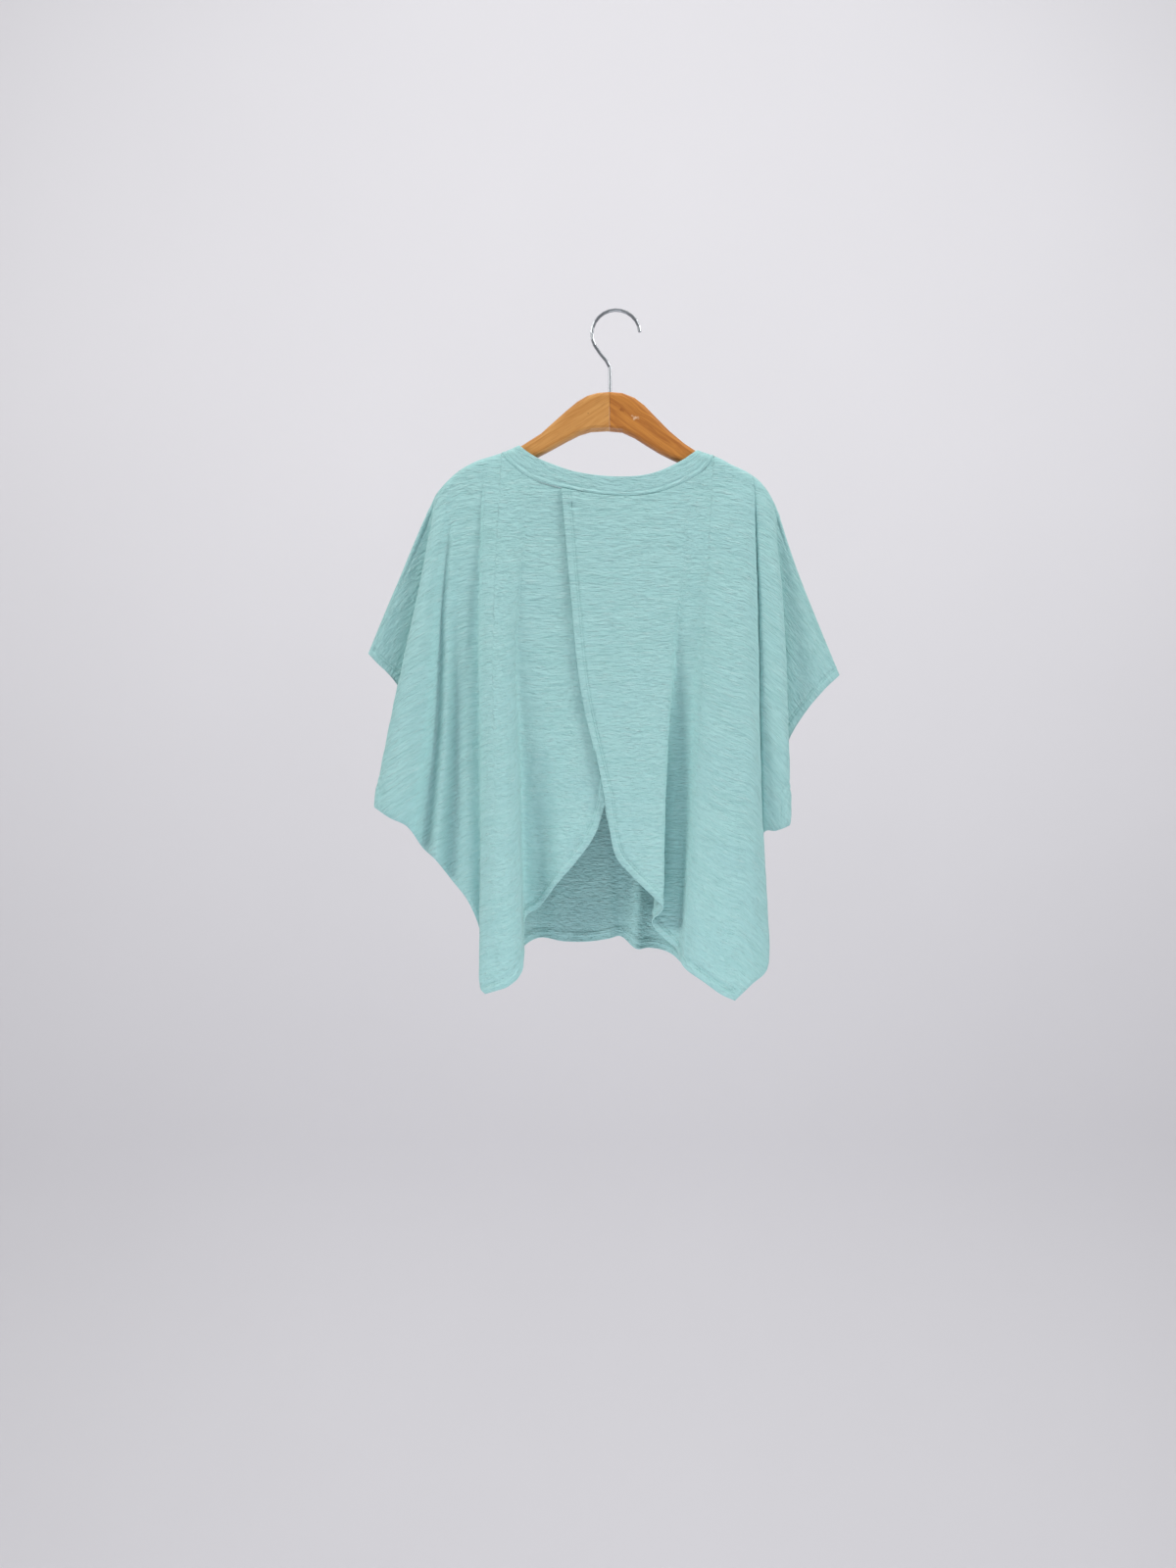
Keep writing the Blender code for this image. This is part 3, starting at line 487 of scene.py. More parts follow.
def meet_at_seam(stretch, folds, back):
    """Columns of the front, from the middle outwards, with their foot brought to the side seam."""
    inner = back[::-1][:2 * len(stretch) - 1:2][::-1]
    marks = [0.0 if fold.name in OPENING_FOLDS else 1.0 for fold in folds]
    across = np.interp(np.arange(len(stretch)) / FRONT_STEPS, np.arange(len(folds)), marks)
    share_down = np.arange(stretch.shape[1]) / (stretch.shape[1] - 1)
    down = soft_step((share_down - SEAM_NEARS_FROM) / (1 - SEAM_NEARS_FROM))
    weight = (across[:, None] * down[None, :])[:, :, None]
    return (1 - weight) * stretch + weight * inner


def front_grid(back_left, back_right):
    """The whole front, from sleeve to sleeve, joined to the back's side seams at its foot."""
    folds = FRONT_LEFT_FOLDS + FRONT_MIDDLE_FOLDS + FRONT_RIGHT_FOLDS
    grid = over_arms(panel_grid(folds, FRONT_NECK, FRONT_STEPS))
    left = FRONT_STEPS * (len(FRONT_LEFT_FOLDS) - 1) + 1
    right = FRONT_STEPS * (len(FRONT_RIGHT_FOLDS) - 1) + 1
    grid[:left] = meet_at_seam(grid[:left][::-1], FRONT_LEFT_FOLDS[::-1], back_left)[::-1]
    grid[-right:] = meet_at_seam(grid[-right:], FRONT_RIGHT_FOLDS, back_right)
    return grid


def arc_along(points):
    """Length along a line of points, from its first one."""
    steps = np.linalg.norm(np.diff(points, axis=0), axis=1)
    return np.concatenate([[0], np.cumsum(steps)])


def flat_cut(grid, side, underarm, corner):
    """Each point's place in the flat cut of half a panel, columns from the middle outwards."""
    top, foot = grid[:, 0], grid[:, -1]
    neck_half = abs((NECK_RIGHT_X if side > 0 else NECK_LEFT_X) - NECK_MIDDLE_X)
    outward = side * (top[:, 0] - NECK_MIDDLE_X)
    at_corner = int(np.argmax(outward >= neck_half - 0.01))
    along = arc_along(top)
    along = np.clip(along - along[at_corner], 0, None)
    on_neck = np.stack([outward, top[:, 1] - NECK_TOP_Z], axis=1)
    slope = np.array([math.cos(SHOULDER_SLOPE), -math.sin(SHOULDER_SLOPE)])
    on_shoulder = np.array([neck_half, 0]) + along[:, None] * slope
    top_flat = np.where((outward < neck_half)[:, None], on_neck, on_shoulder)
    tip = top_flat[-1] + arc_along(grid[-1])[-1] * slope

    foot_flat = np.zeros_like(top_flat)
    inward = arc_along(foot[::-1])[::-1]
    for first, last, start, end in ((len(foot) - 1, underarm, tip, UNDERARM),
                                    (underarm, corner, UNDERARM, SIDE_CORNER)):
        share = (inward[last:first + 1] - inward[first]) / (inward[last] - inward[first])
        start, end = np.array(start, float), np.array(end, float)
        foot_flat[last:first + 1] = start + share[:, None] * (end - start)
    drop = np.maximum(foot[:corner + 1, 1] - NECK_TOP_Z, SIDE_CORNER[1])
    steps = np.diff(drop)
    lengths = -np.diff(inward[:corner + 1])
    across = np.sqrt(np.clip(lengths ** 2 - steps ** 2, (0.3 * lengths) ** 2, None))
    reach = np.concatenate([[0], np.cumsum(across)])
    first_u = side * (foot[0, 0] - NECK_MIDDLE_X)
    foot_flat[:corner + 1, 0] = first_u + (SIDE_CORNER[0] - first_u) * reach / reach[-1]
    foot_flat[:corner + 1, 1] = drop

    lengths = np.cumsum(np.linalg.norm(np.diff(grid, axis=1), axis=2), axis=1)
    share = np.concatenate([np.zeros((len(grid), 1)), lengths / lengths[:, -1:]], axis=1)
    flat = top_flat[:, None] + share[:, :, None] * (foot_flat - top_flat)[:, None]
    flat[..., 0] *= side
    return flat


def distance_to(points, line):
    """Distance of every point from a line of points, whose stretches are filled in first."""
    dense = np.concatenate([line[:-1] + (line[1:] - line[:-1]) * part
                            for part in np.linspace(0, 1, 8, endpoint=False)] + [line[-1:]])
    tree = KDTree(len(dense))
    for index, place in enumerate(dense):
        tree.insert(place, index)
    tree.balance()
    flat = points.reshape(-1, 3)
    return np.array([tree.find(place)[2] for place in flat]).reshape(points.shape[:-1])


def ridge(distance, at, height, width):
    """Height of a soft ridge that runs at some distance, or of a groove if height is negative."""
    return height * np.exp(-((distance - at) / width) ** 2)


def crease_height(grid, creases):
    """Height of all the creases at each point. Each bows a little, widens along its run and
    fades at both ends."""
    x, z = grid[..., 0], grid[..., 1]
    height = np.zeros_like(x)
    for crease in creases:
        run = np.array([crease.to_x - crease.from_x, crease.to_z - crease.from_z])
        length = np.linalg.norm(run)
        run = run / length
        along = (x - crease.from_x) * run[0] + (z - crease.from_z) * run[1]
        bow = 0.05 * length * np.sin(math.pi * along / length)
        beside = (x - crease.from_x) * run[1] - (z - crease.from_z) * run[0] - bow
        ends = soft_step(along / (0.4 * length)) * soft_step((length - along) / (0.3 * length))
        width = crease.width * (0.7 + 0.6 * np.clip(along / length, 0, 1))
        height += ends * ridge(beside, 0, crease.height, width)
    return height


def pucker_height(grid):
    """Height of the puckers under the neckband: a dimple each, with a small fold below it."""
    height = np.zeros(grid.shape[:-1])
    for x, z, radius, depth in NECK_PUCKERS:
        beside, below = (grid[..., 0] - x) / radius, (z - grid[..., 1]) / radius
        height -= depth * np.exp(-beside ** 2 - below ** 2)
        height += 0.6 * depth * np.exp(-(beside / 2) ** 2 - (below - 1.6) ** 2)
    return height


def uneven(flat, across, down, seed):
    """Soft random height from -1 to 1, with swells of the given sizes in the flat cut."""
    places = np.stack([flat[..., 0] / across, flat[..., 1] / down], axis=-1).reshape(-1, 2)
    values = [noise.noise((u, v, seed)) for u, v in places]
    return np.array(values).reshape(flat.shape[:-1])


def round_edge(distance, full, rounding):
    """Half thickness that rounds off to nothing at an edge."""
    rest = 1 - np.clip(distance / rounding, 0, 1)
    return full * np.sqrt(1 - rest ** 2)


def mesh_from_grids(name, grids, ring=False):
    """A mesh over grids of points in millimetres, each with its flat cut and whether its faces
    are turned over. A ring's last column joins its first."""
    points, faces, uvs = [], [], []
    for grid, flat, turned in grids:
        first = sum(len(part) for part in points)
        columns, rows = grid.shape[:2]
        points.append(grid.reshape(-1, 3))
        uvs.append(flat.reshape(-1, 2))
        column = np.arange(columns if ring else columns - 1)
        beside = (column + 1) % columns
        row = np.arange(rows - 1)
        a = first + column[:, None] * rows + row
        b = first + beside[:, None] * rows + row
        quads = np.stack([a, a + 1, b + 1, b], axis=-1).reshape(-1, 4)
        faces.append(quads[:, ::-1] if turned else quads)
    points = np.concatenate(points) * MM
    faces = np.concatenate(faces)
    uvs = np.concatenate(uvs) * MM
    mesh = bpy.data.meshes.new(name)
    mesh.from_pydata(points, [], faces)
    layer = mesh.uv_layers.new(name="flat_cut")
    layer.data.foreach_set("uv", uvs[faces.ravel()].ravel())
    return mesh


def close_and_smooth(mesh):
    """Join the two surfaces of a cloth along its edges. The quads in its corners are cut from the
    corner inwards, so that the two surfaces share no triangle there."""
    work = bmesh.new()
    work.from_mesh(mesh)
    bmesh.ops.remove_doubles(work, verts=work.verts, dist=1e-6)
    for corner in [vert for vert in work.verts if len(vert.link_edges) == 2]:
        beside = [edge.other_vert(corner) for edge in corner.link_edges]
        for face in list(corner.link_faces):
            across = [vert for vert in face.verts if vert != corner and vert not in beside]
            if len(across) == 1:
                bmesh.utils.face_split(face, corner, across[0])
    work.to_mesh(mesh)
    work.free()
    mesh.shade_smooth()


def add_piece(name, mesh, material):
    """A new piece of the garment, which rides with the hanger."""
    piece = bpy.data.objects.new(name, mesh)
    bpy.context.scene.collection.objects.link(piece)
    mesh.materials.append(material)
    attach(piece, "root")
    return piece


def nearest(points, lines):
    """Distance of every point from the nearest of some lines."""
    return np.min([distance_to(points, line) for line in lines], axis=0)


def crossing(field, places, normals, level):
    """Along each row of field, the first place where it grows past level, and the normal there."""
    found = []
    for values, line, facing in zip(field, places, normals):
        past = int(np.argmax(values > level))
        if past == 0:
            continue
        share = (level - values[past - 1]) / (values[past] - values[past - 1])
        place = line[past - 1] + share * (line[past] - line[past - 1])
        found.append((place, facing[past]))
    return found


def unbroken(row):
    """The stretches of a row of places that have no jump in them."""
    runs = [[]]
    for place, facing in row:
        if runs[-1] and np.linalg.norm(place - runs[-1][-1][0]) > STITCH_JUMP:
            runs.append([])
        runs[-1].append((place, facing))
    return [run for run in runs if len(run) > STITCH_ROW]


def run_of_stitches(found, stitch):
    """Copies of one stitch laid end to end along a row of places with their normals."""
    places = np.array([place for place, _ in found])
    normals = np.array([facing for _, facing in found])
    even = np.ones(5) / 5
    inner = np.stack([np.convolve(places[:, axis], even, mode="valid") for axis in range(3)], 1)
    places = np.concatenate([places[:2], inner, places[-2:]])
    along = arc_along(places)
    at = np.arange(STITCH_PITCH / 2, along[-1], STITCH_PITCH)
    reach = 0.4 * STITCH_PITCH
    rows = ((at, places), (at + reach, places), (at - reach, places), (at, normals))
    centre, ahead, behind, up = (
        np.stack([np.interp(spots, along, line[:, axis]) for axis in range(3)], axis=1)
        for spots, line in rows)
    run = ahead - behind
    run /= np.linalg.norm(run, axis=1, keepdims=True)
    side = np.cross(up, run)
    side /= np.linalg.norm(side, axis=1, keepdims=True)
    axes = np.stack([run, side, np.cross(run, side)], axis=1)
    return centre[:, None] + np.einsum("vk,nkc->nvc", stitch, axes)


def one_stitch():
    """Points in millimetres and faces of a stitch of thread, lying along X."""
    bpy.ops.object.select_all(action="DESELECT")
    bpy.ops.mesh.primitive_uv_sphere_add(segments=6, ring_count=4, radius=0.5)
    bpy.ops.object.mode_set(mode="EDIT")
    bpy.ops.mesh.select_all(action="SELECT")
    bpy.ops.transform.rotate(value=math.pi / 2, orient_axis="Y", center_override=(0, 0, 0))
    bpy.ops.transform.resize(value=STITCH_SIZE, center_override=(0, 0, 0))
    bpy.ops.object.mode_set(mode="OBJECT")
    ball = bpy.context.object
    points = np.array([vertex.co[:] for vertex in ball.data.vertices])
    faces = sorted(tuple(face.vertices) for face in ball.data.polygons)
    bpy.data.objects.remove(ball)
    return points, faces


def sew(name, rows, stitch, thread):
    """One piece of all the stitches along some rows of places and normals."""
    shape, corners = stitch
    laid = [run_of_stitches(run, shape) for row in rows for run in unbroken(row)]
    points = np.concatenate(laid).reshape(-1, 3) * MM
    faces = [tuple(corner + first for corner in face)
             for first in range(0, len(points), len(shape)) for face in corners]
    mesh = bpy.data.meshes.new(name)
    mesh.from_pydata(points, [], faces)
    mesh.shade_smooth()
    return add_piece(name, mesh, thread)


def dress_panel(grid, flat, facing, hems, seams, topstitched, creases, lifted, seed):
    """The outer and inner surfaces of a panel's cloth where its solid is, and its normals.

    facing is the side, +Y or -Y, that it shows. hems are edges turned under and stitched, seams
    are edges sewn to the other panel, and lifted is an edge that stands off the panel below.
    """
    points = in_space(grid)
    normals = normals_of(points, facing)
    hem = nearest(points, hems)
    seam = nearest(points, seams)
    top = distance_to(points, points[:, 0])

    # Each form fades out towards a seam, the top edge or a hem, over the millimetres given
    uneven_height = sum(size * uneven(flat, across, down, seed + step)
                        for size, across, down, step in SWELLS)
    height = SOLID_MIDDLE * soft_step(seam / 4)
    height += (soft_step(seam / 14) * soft_step(top / 16)
               * (crease_height(grid, creases) + uneven_height))
    size, across, down, step = HEM_RIPPLE
    ripple = size * uneven(flat, across, down, seed + step)
    height += ripple * np.exp(-hem / 12) * soft_step(seam / 20)
    turned = np.sin(math.pi * np.clip(hem / HEM_DEPTH, 0, 1)) * (hem < HEM_DEPTH)
    height += HEM_SWELL * turned * soft_step(seam / 8)
    for needle in TWIN_NEEDLE:
        height += ridge(hem, needle, *NEEDLE_GROOVE) * soft_step(seam / 6)
    if topstitched is not None:
        over = distance_to(points, topstitched)
        height += ridge(over, TOPSTITCH, *TOPSTITCH_GROOVE) * soft_step(hem / 4)
        height += ridge(over, TOPSTITCH / 2, *ALLOWANCE_RIDGE)
    if facing < 0:
        height += pucker_height(grid)
    if lifted is not None:
        height += SPLIT_LIFT * np.exp(-distance_to(points, lifted) / 7) * soft_step(top / 10)
    middle = points + normals * height[..., None]

    edge = np.minimum(np.minimum(hem, seam), top)
    outside = round_edge(edge, KNIT / 2, EDGE_ROUNDING)
    folded = HEM_LAYER * (1 - soft_step((hem - HEM_DEPTH + 1) / 1.2)) * soft_step(seam / 6)
    inside = outside + round_edge(edge, 1, EDGE_ROUNDING) * folded
    return middle + normals * outside[..., None], middle - normals * inside[..., None], normals


def finish_panel(name, outer, inner, flat, turned, knit):
    """A panel's piece from its two surfaces; turned swaps the way that their faces look."""
    mesh = mesh_from_grids(name, [(outer, flat, turned), (inner, flat, not turned)])
    close_and_smooth(mesh)
    return add_piece(name, mesh, knit)


def to_linear(code, alpha=1.0):
    """An sRGB hex colour as linear red, green, blue and alpha."""
    channels = [int(code[i:i + 2], 16) / 255 for i in (1, 3, 5)]
    linear = [c / 12.92 if c <= 0.04045 else ((c + 0.055) / 1.055) ** 2.4 for c in channels]
    return (*linear, alpha)


def plug(tree, node, inputs):
    """Set or link a node's sockets. A node given as a value stands for its first active output."""
    for socket, value in inputs:
        if isinstance(value, bpy.types.Node):
            value = next(output for output in value.outputs if output.enabled)
        if isinstance(value, bpy.types.NodeSocket):
            tree.links.new(value, node.inputs[socket])
        else:
            node.inputs[socket].default_value = value
    return node


def add_node(tree, kind, inputs=(), **settings):
    """A node with its settings and links; inputs pairs each socket with a value or a node."""
    made = tree.nodes.new("ShaderNode" + kind)
    for setting, value in settings.items():
        setattr(made, setting, value)
    return plug(tree, made, inputs)


def new_material(name, **shader_settings):
    """A material, its node tree and its principled shader with constants on its own sockets."""
    material = bpy.data.materials.new(name)
    material.use_nodes = True
    shader = material.node_tree.nodes["Principled BSDF"]
    for socket, value in shader_settings.items():
        shader.inputs[socket.replace("_", " ")].default_value = value
    return material, material.node_tree, shader


def slub_knit():
    """Slub cotton jersey, piece-dyed mint: thick places in the yarn run along the courses as
    short pale ridges, thin places as darker gaps, and the washed cloth is slightly crinkled."""
    knit, tree, shader = new_material(
        "mint_slub_cotton_jersey", Roughness=0.92, Specular_IOR_Level=0.25,
        Sheen_Weight=0.22, Sheen_Roughness=0.45, Sheen_Tint=to_linear("#E4F5F2"))
    cut = add_node(tree, "UVMap", uv_map="flat_cut")
    # Length and width in millimetres of the places that each pattern makes. A slub is 1.5 to 3 mm
    # thick here, about twice the real one, so that it shows in a render.
    yarn = {}
    for pattern, length, width, detail, start in (
            ("thick", 17, 1.7, 2, 3.1), ("thin", 9, 1.2, 2, 7.7), ("course", 60, 4, 1, 1.3),
            ("crinkle", 12, 3.6, 3, 5.9), ("cloud", 70, 55, 2, 9.2)):
        laid = add_node(tree, "Mapping", [
            ("Vector", cut), ("Location", [start] * 3),
            ("Scale", (1 / (length * MM), 1 / (width * MM), 1 / (length * MM)))])
        yarn[pattern] = add_node(tree, "TexNoise", [
            ("Vector", laid), ("Scale", 1.0), ("Detail", detail), ("Roughness", 0.55)])
    # Each tone covers the last one as its pattern goes from low to high
    shade = to_linear("#9DCAC9")
    for pattern, low, high, at_low, at_high, tone in (
            ("course", 0.3, 0.7, 0, 1, "#A5D0CF"), ("cloud", 0.35, 0.7, 0, 0.5, "#A0CCCD"),
            ("thick", 0.54, 0.74, 0, 0.6, "#B9DBDA"), ("thin", 0.28, 0.48, 0.42, 0, "#88BBB8")):
        share = add_node(tree, "MapRange", [
            ("Value", yarn[pattern]), ("From Min", low), ("From Max", high),
            ("To Min", at_low), ("To Max", at_high)], interpolation_type="SMOOTHSTEP")
        shade = add_node(tree, "Mix", [(0, share), (6, shade), (7, to_linear(tone))],
                         data_type="RGBA")
    # The crinkle lifts the whole cloth, slubs stand up on it and gaps sink in
    relief = add_node(tree, "Math", [(0, yarn["crinkle"]), (1, 4.2)], operation="MULTIPLY")
    for pattern, low, high, at_low, at_high in (
            ("thick", 0.54, 0.72, 0, 0.8), ("thin", 0.30, 0.50, -0.45, 0)):
        raised = add_node(tree, "MapRange", [
            ("Value", yarn[pattern]), ("From Min", low), ("From Max", high),
            ("To Min", at_low), ("To Max", at_high)], interpolation_type="SMOOTHSTEP")
        relief = add_node(tree, "Math", [(0, relief), (1, raised)], operation="ADD")
    bump = add_node(tree, "Bump", [("Height", relief), ("Strength", 1.0), ("Distance", 0.0005)])
    plug(tree, shader, [("Base Color", shade), ("Normal", bump)])
    return knit


def sewing_thread():
    """Spun polyester thread dyed to the cloth, a little darker and smoother than it, and uneven
    in tone every few millimetres."""
    thread, tree, shader = new_material(
        "mint_sewing_thread", Roughness=0.7, Specular_IOR_Level=0.4, Sheen_Weight=0.15)
    laid = add_node(tree, "Mapping", [
        ("Vector", add_node(tree, "TexCoord").outputs["Object"]),
        ("Location", [2.2] * 3), ("Scale", [1 / (3 * MM)] * 3)])
    twist = add_node(tree, "TexNoise", [
        ("Vector", laid), ("Scale", 1.0), ("Detail", 2.0), ("Roughness", 0.55)])
    colour = add_node(tree, "Mix", [
        (0, twist), (6, to_linear("#7CAFAC")), (7, to_linear("#96C4C1"))], data_type="RGBA")
    plug(tree, shader, [("Base Color", colour)])
    return thread


def varnished_wood(name, tilt, early, late, marks):
    """Beech under satin varnish: late wood runs as darker lines along the arm, with fine brown
    flecks, and each mark is a knot or a scuff, ragged at its edge, with its own tone."""
    wood, tree, shader = new_material(
        name, Roughness=0.38, Specular_IOR_Level=0.5, Coat_Weight=0.35, Coat_Roughness=0.18)
    place = add_node(tree, "TexCoord").outputs["Object"]
    grain = add_node(tree, "Mapping", [("Vector", place), ("Rotation", (0, tilt, 0))])
    # The grain sways over 60 mm. Its main lines are 7 mm apart with finer ones between, a fleck
    # is 1 mm wide and 20 mm long, and a mark's edge is ragged over 4 mm. The numbers in the rows
    # say how many go into a metre.
    laid = add_node(tree, "Mapping", [
        ("Vector", grain), ("Location", [1.7] * 3), ("Scale", [1 / (60 * MM)] * 3)])
    sway = add_node(tree, "TexNoise", [
        ("Vector", laid), ("Scale", 1.0), ("Detail", 2.0), ("Roughness", 0.55)])
    moved = add_node(tree, "VectorMath", [(0, grain), (1, sway)], operation="ADD")
    swayed = add_node(tree, "Mix", [(0, 0.012), (4, grain), (5, moved)], data_type="VECTOR")
    figure = {}
    for pattern, on, per_metre, start, detail, rough, bent in (
            ("growth", swayed, (9, 60, 150), 0, 4, 0.62, 1.1),
            ("fleck", grain, (50, 300, 1000), 0, 2, 0.5, 0),
            ("ragged", grain, (250, 250, 250), 6.1, 3, 0.55, 0)):
        laid = add_node(tree, "Mapping", [
            ("Vector", on), ("Location", [start] * 3), ("Scale", per_metre)])
        figure[pattern] = add_node(tree, "TexNoise", [
            ("Vector", laid), ("Scale", 1.0), ("Detail", detail), ("Roughness", rough),
            ("Distortion", bent)])
    # Each tone covers the last one as its value goes from low to high
    tones = [(figure["growth"], 0.32, 0.72, 0, 1, late),
             (figure["fleck"], 0.55, 0.75, 0, 0.35, "#8A5220")]
    for centre, radius, tone, strength in marks:
        beside = add_node(tree, "VectorMath", [(0, place), (1, [c * MM for c in centre])],
                          operation="SUBTRACT")
        beside = add_node(tree, "VectorMath", [(0, beside), (1, (1.0, 0.4, 1.6))],
                          operation="MULTIPLY")
        away = add_node(tree, "VectorMath", [(0, beside)], operation="LENGTH")
        away = add_node(tree, "Math", [(0, figure["ragged"]), (1, radius * MM * 3.2), (2, away)],
                        operation="MULTIPLY_ADD")
        tones.append((away, radius * MM * 1.7, radius * MM * 2.3, strength, 0, tone))
    colour = to_linear(early)
    for value, low, high, at_low, at_high, tone in tones:
        share = add_node(tree, "MapRange", [
            ("Value", value), ("From Min", low), ("From Max", high),
            ("To Min", at_low), ("To Max", at_high)], interpolation_type="SMOOTHSTEP")
        colour = add_node(tree, "Mix", [(0, share), (6, colour), (7, to_linear(tone))],
                          data_type="RGBA")
    bump = add_node(tree, "Bump", [
        ("Height", figure["growth"]), ("Strength", 0.3), ("Distance", 0.0002)])
    plug(tree, shader, [("Base Color", colour), ("Normal", bump)])
    return wood


def plated_wire():
    """Drawn steel wire with bright nickel-chrome plating, dulled by handling in patches of about
    9 mm that make its highlights uneven."""
    wire, tree, shader = new_material(
        "chrome_plated_steel_wire", Base_Color=to_linear("#A2A6AA"), Metallic=1.0)
    smear = add_node(tree, "TexNoise", [
        ("Vector", add_node(tree, "TexCoord").outputs["Object"]),
        ("Scale", 1 / (9 * MM)), ("Detail", 4.0), ("Roughness", 0.55)])
    dulled = add_node(tree, "MapRange", [
        ("Value", smear), ("From Min", 0.35), ("From Max", 0.7),
        ("To Min", 0.36), ("To Max", 0.48)], interpolation_type="SMOOTHSTEP")
    bump = add_node(tree, "Bump", [("Height", smear), ("Strength", 0.2), ("Distance", 0.00005)])
    plug(tree, shader, [("Roughness", dulled), ("Normal", bump)])
    return wire


def painted_board():
    """Matt painted board, with a faint unevenness so that it isn't dead flat."""
    board, tree, shader = new_material(
        "pale_matt_board", Roughness=0.95, Specular_IOR_Level=0.1)
    cloud = add_node(tree, "TexNoise", [
        ("Vector", add_node(tree, "TexCoord").outputs["Object"]),
        ("Scale", 1 / (700 * MM)), ("Detail", 2.0), ("Roughness", 0.55)])
    colour = add_node(tree, "Mix", [
        (0, cloud), (6, to_linear("#DCDBDF")), (7, to_linear("#E0DFE3"))], data_type="RGBA")
    plug(tree, shader, [("Base Color", colour)])
    return board


def band_half(start, stations, end, neck):
    """Columns over half of the neckband, each with its rows from the neck seam to the fold."""
    values = np.array([start] + stations + [end], float)
    spacing = np.linalg.norm(np.diff(values, axis=0), axis=1) ** 0.5
    knots = np.concatenate([[0], np.cumsum(spacing)])
    even = np.arange(BAND_STEPS) / BAND_STEPS
    shares = [even ** CROWDING] + [even] * (len(values) - 3) + [1 - (1 - even) ** CROWDING]
    at = np.concatenate([knot + part * step for knot, part, step in zip(knots, shares, spacing)])
    seam_x, seam_z, edge_x, edge_z, out = smooth(knots, values, at).T
    seam_z = top_height(neck, seam_x)
    lines = []
    for share in BAND_ROWS:
        x = seam_x + (edge_x - seam_x) * share
        z = seam_z + (edge_z - seam_z) * share
        lines.append(np.stack([x, z, out * roll(height_on(SHOULDER_LINE, x) - z)], axis=1))
    return np.stack(lines, axis=1)


def make_neckband(knit):
    """The folded band round the neck: a ring that starts at the left shoulder, back first."""
    left, right = BAND_ENDS
    front = [station._replace(out=-station.out) for station in reversed(FRONT_BAND)]
    grid = np.concatenate([
        band_half(left, BACK_BAND, right, BACK_NECK),
        band_half(right._replace(out=-right.out), front, left._replace(out=-left.out), FRONT_NECK),
    ])
    points = in_space(grid)
    round_the_ring = np.concatenate([points[-1:], points, points[:1]])
    down = np.gradient(round_the_ring, axis=1)
    along = np.gradient(round_the_ring, axis=0)
    normals = np.cross(along, down)[1:-1]
    normals /= np.maximum(np.linalg.norm(normals, axis=-1, keepdims=True), 1e-9)
    middle_of_back = len(grid) // 4
    normals *= -np.sign(normals[middle_of_back, :, 1].mean())
    from_seam = np.array(BAND_ROWS) * BAND_HEIGHT
    edge = np.minimum(from_seam, BAND_HEIGHT - from_seam)[None, :]
    length = arc_along(points[:, 0])
    flat = np.stack(np.broadcast_arrays(length[:, None], from_seam[None, :]), axis=-1)
    height = SOLID_MIDDLE + ridge(from_seam, 2.2, *BAND_SEAM_RIDGE)
    height = (height + ridge(from_seam, TOPSTITCH, *BAND_STITCH_GROOVE))[None, :]
    size, across, down = BAND_RIPPLE
    height = height + size * uneven(flat, across, down, 4.0) * soft_step(edge / 3)
    middle = points + normals * height[..., None]
    half = round_edge(edge, BAND_KNIT / 2, BAND_ROUNDING)[..., None]
    surfaces = [(middle + normals * half, flat, True), (middle - normals * half, flat, False)]
    mesh = mesh_from_grids("neckband_folded_jersey", surfaces, ring=True)
    close_and_smooth(mesh)
    return add_piece("neckband_folded_jersey", mesh, knit)


def stitch_rows(outer, normals, points, corner, underarm):
    """Twin-needle rows along the split, the hem and the sleeve's opening of a back panel."""
    rows = []
    split = distance_to(points, points[0])
    foot = distance_to(points, points[:, -1])
    for needle in TWIN_NEEDLE:
        beyond = foot[:, ::-1] * (split[:, ::-1] > needle)
        for away, part in ((beyond, slice(0, corner + 1)), (foot[:, ::-1], slice(underarm, None))):
            rows.append(crossing(away[part], outer[part, ::-1], normals[part, ::-1], needle))
        inside = split.T * (foot.T > needle)
        rows.append(crossing(inside, outer.transpose(1, 0, 2), normals.transpose(1, 0, 2), needle))
    return rows


def make_back_half(name, grid, folds, side, seed, stitch, knit, thread):
    """Half of the back with its sleeve: hemmed along the split, the foot and the sleeve's opening,
    sewn to the front down its side and over the shoulder, and topstitched there."""
    names = [fold.name for fold in folds]
    corner = names.index("corner") * BACK_STEPS
    underarm = names.index("fan_edge" if side < 0 else "outer_edge") * BACK_STEPS
    flat = flat_cut(grid, side, underarm, corner)
    points = in_space(grid)
    neck_end = int(np.argmax(side * (grid[:, 0, 0] - NECK_MIDDLE_X) > NECK_HALF))
    shoulder = np.concatenate([points[neck_end:, 0], points[-1]])
    outer, inner, normals = dress_panel(
        grid, flat, -1,
        hems=[points[0], points[:corner + 1, -1], points[underarm:, -1]],
        seams=[points[corner:underarm + 1, -1], points[-1]],
        topstitched=shoulder, creases=BACK_CREASES, lifted=points[0] if side > 0 else None,
        seed=seed)
    cloth = finish_panel(name + "_jersey", outer, inner, flat, side < 0, knit)
    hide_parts(name)
    rows = stitch_rows(outer, normals, points, corner, underarm)
    over = distance_to(points, shoulder)
    rows.append(crossing(over[neck_end:], outer[neck_end:], normals[neck_end:], TOPSTITCH))
    stitches = sew(name + "_stitches", rows, stitch, thread)


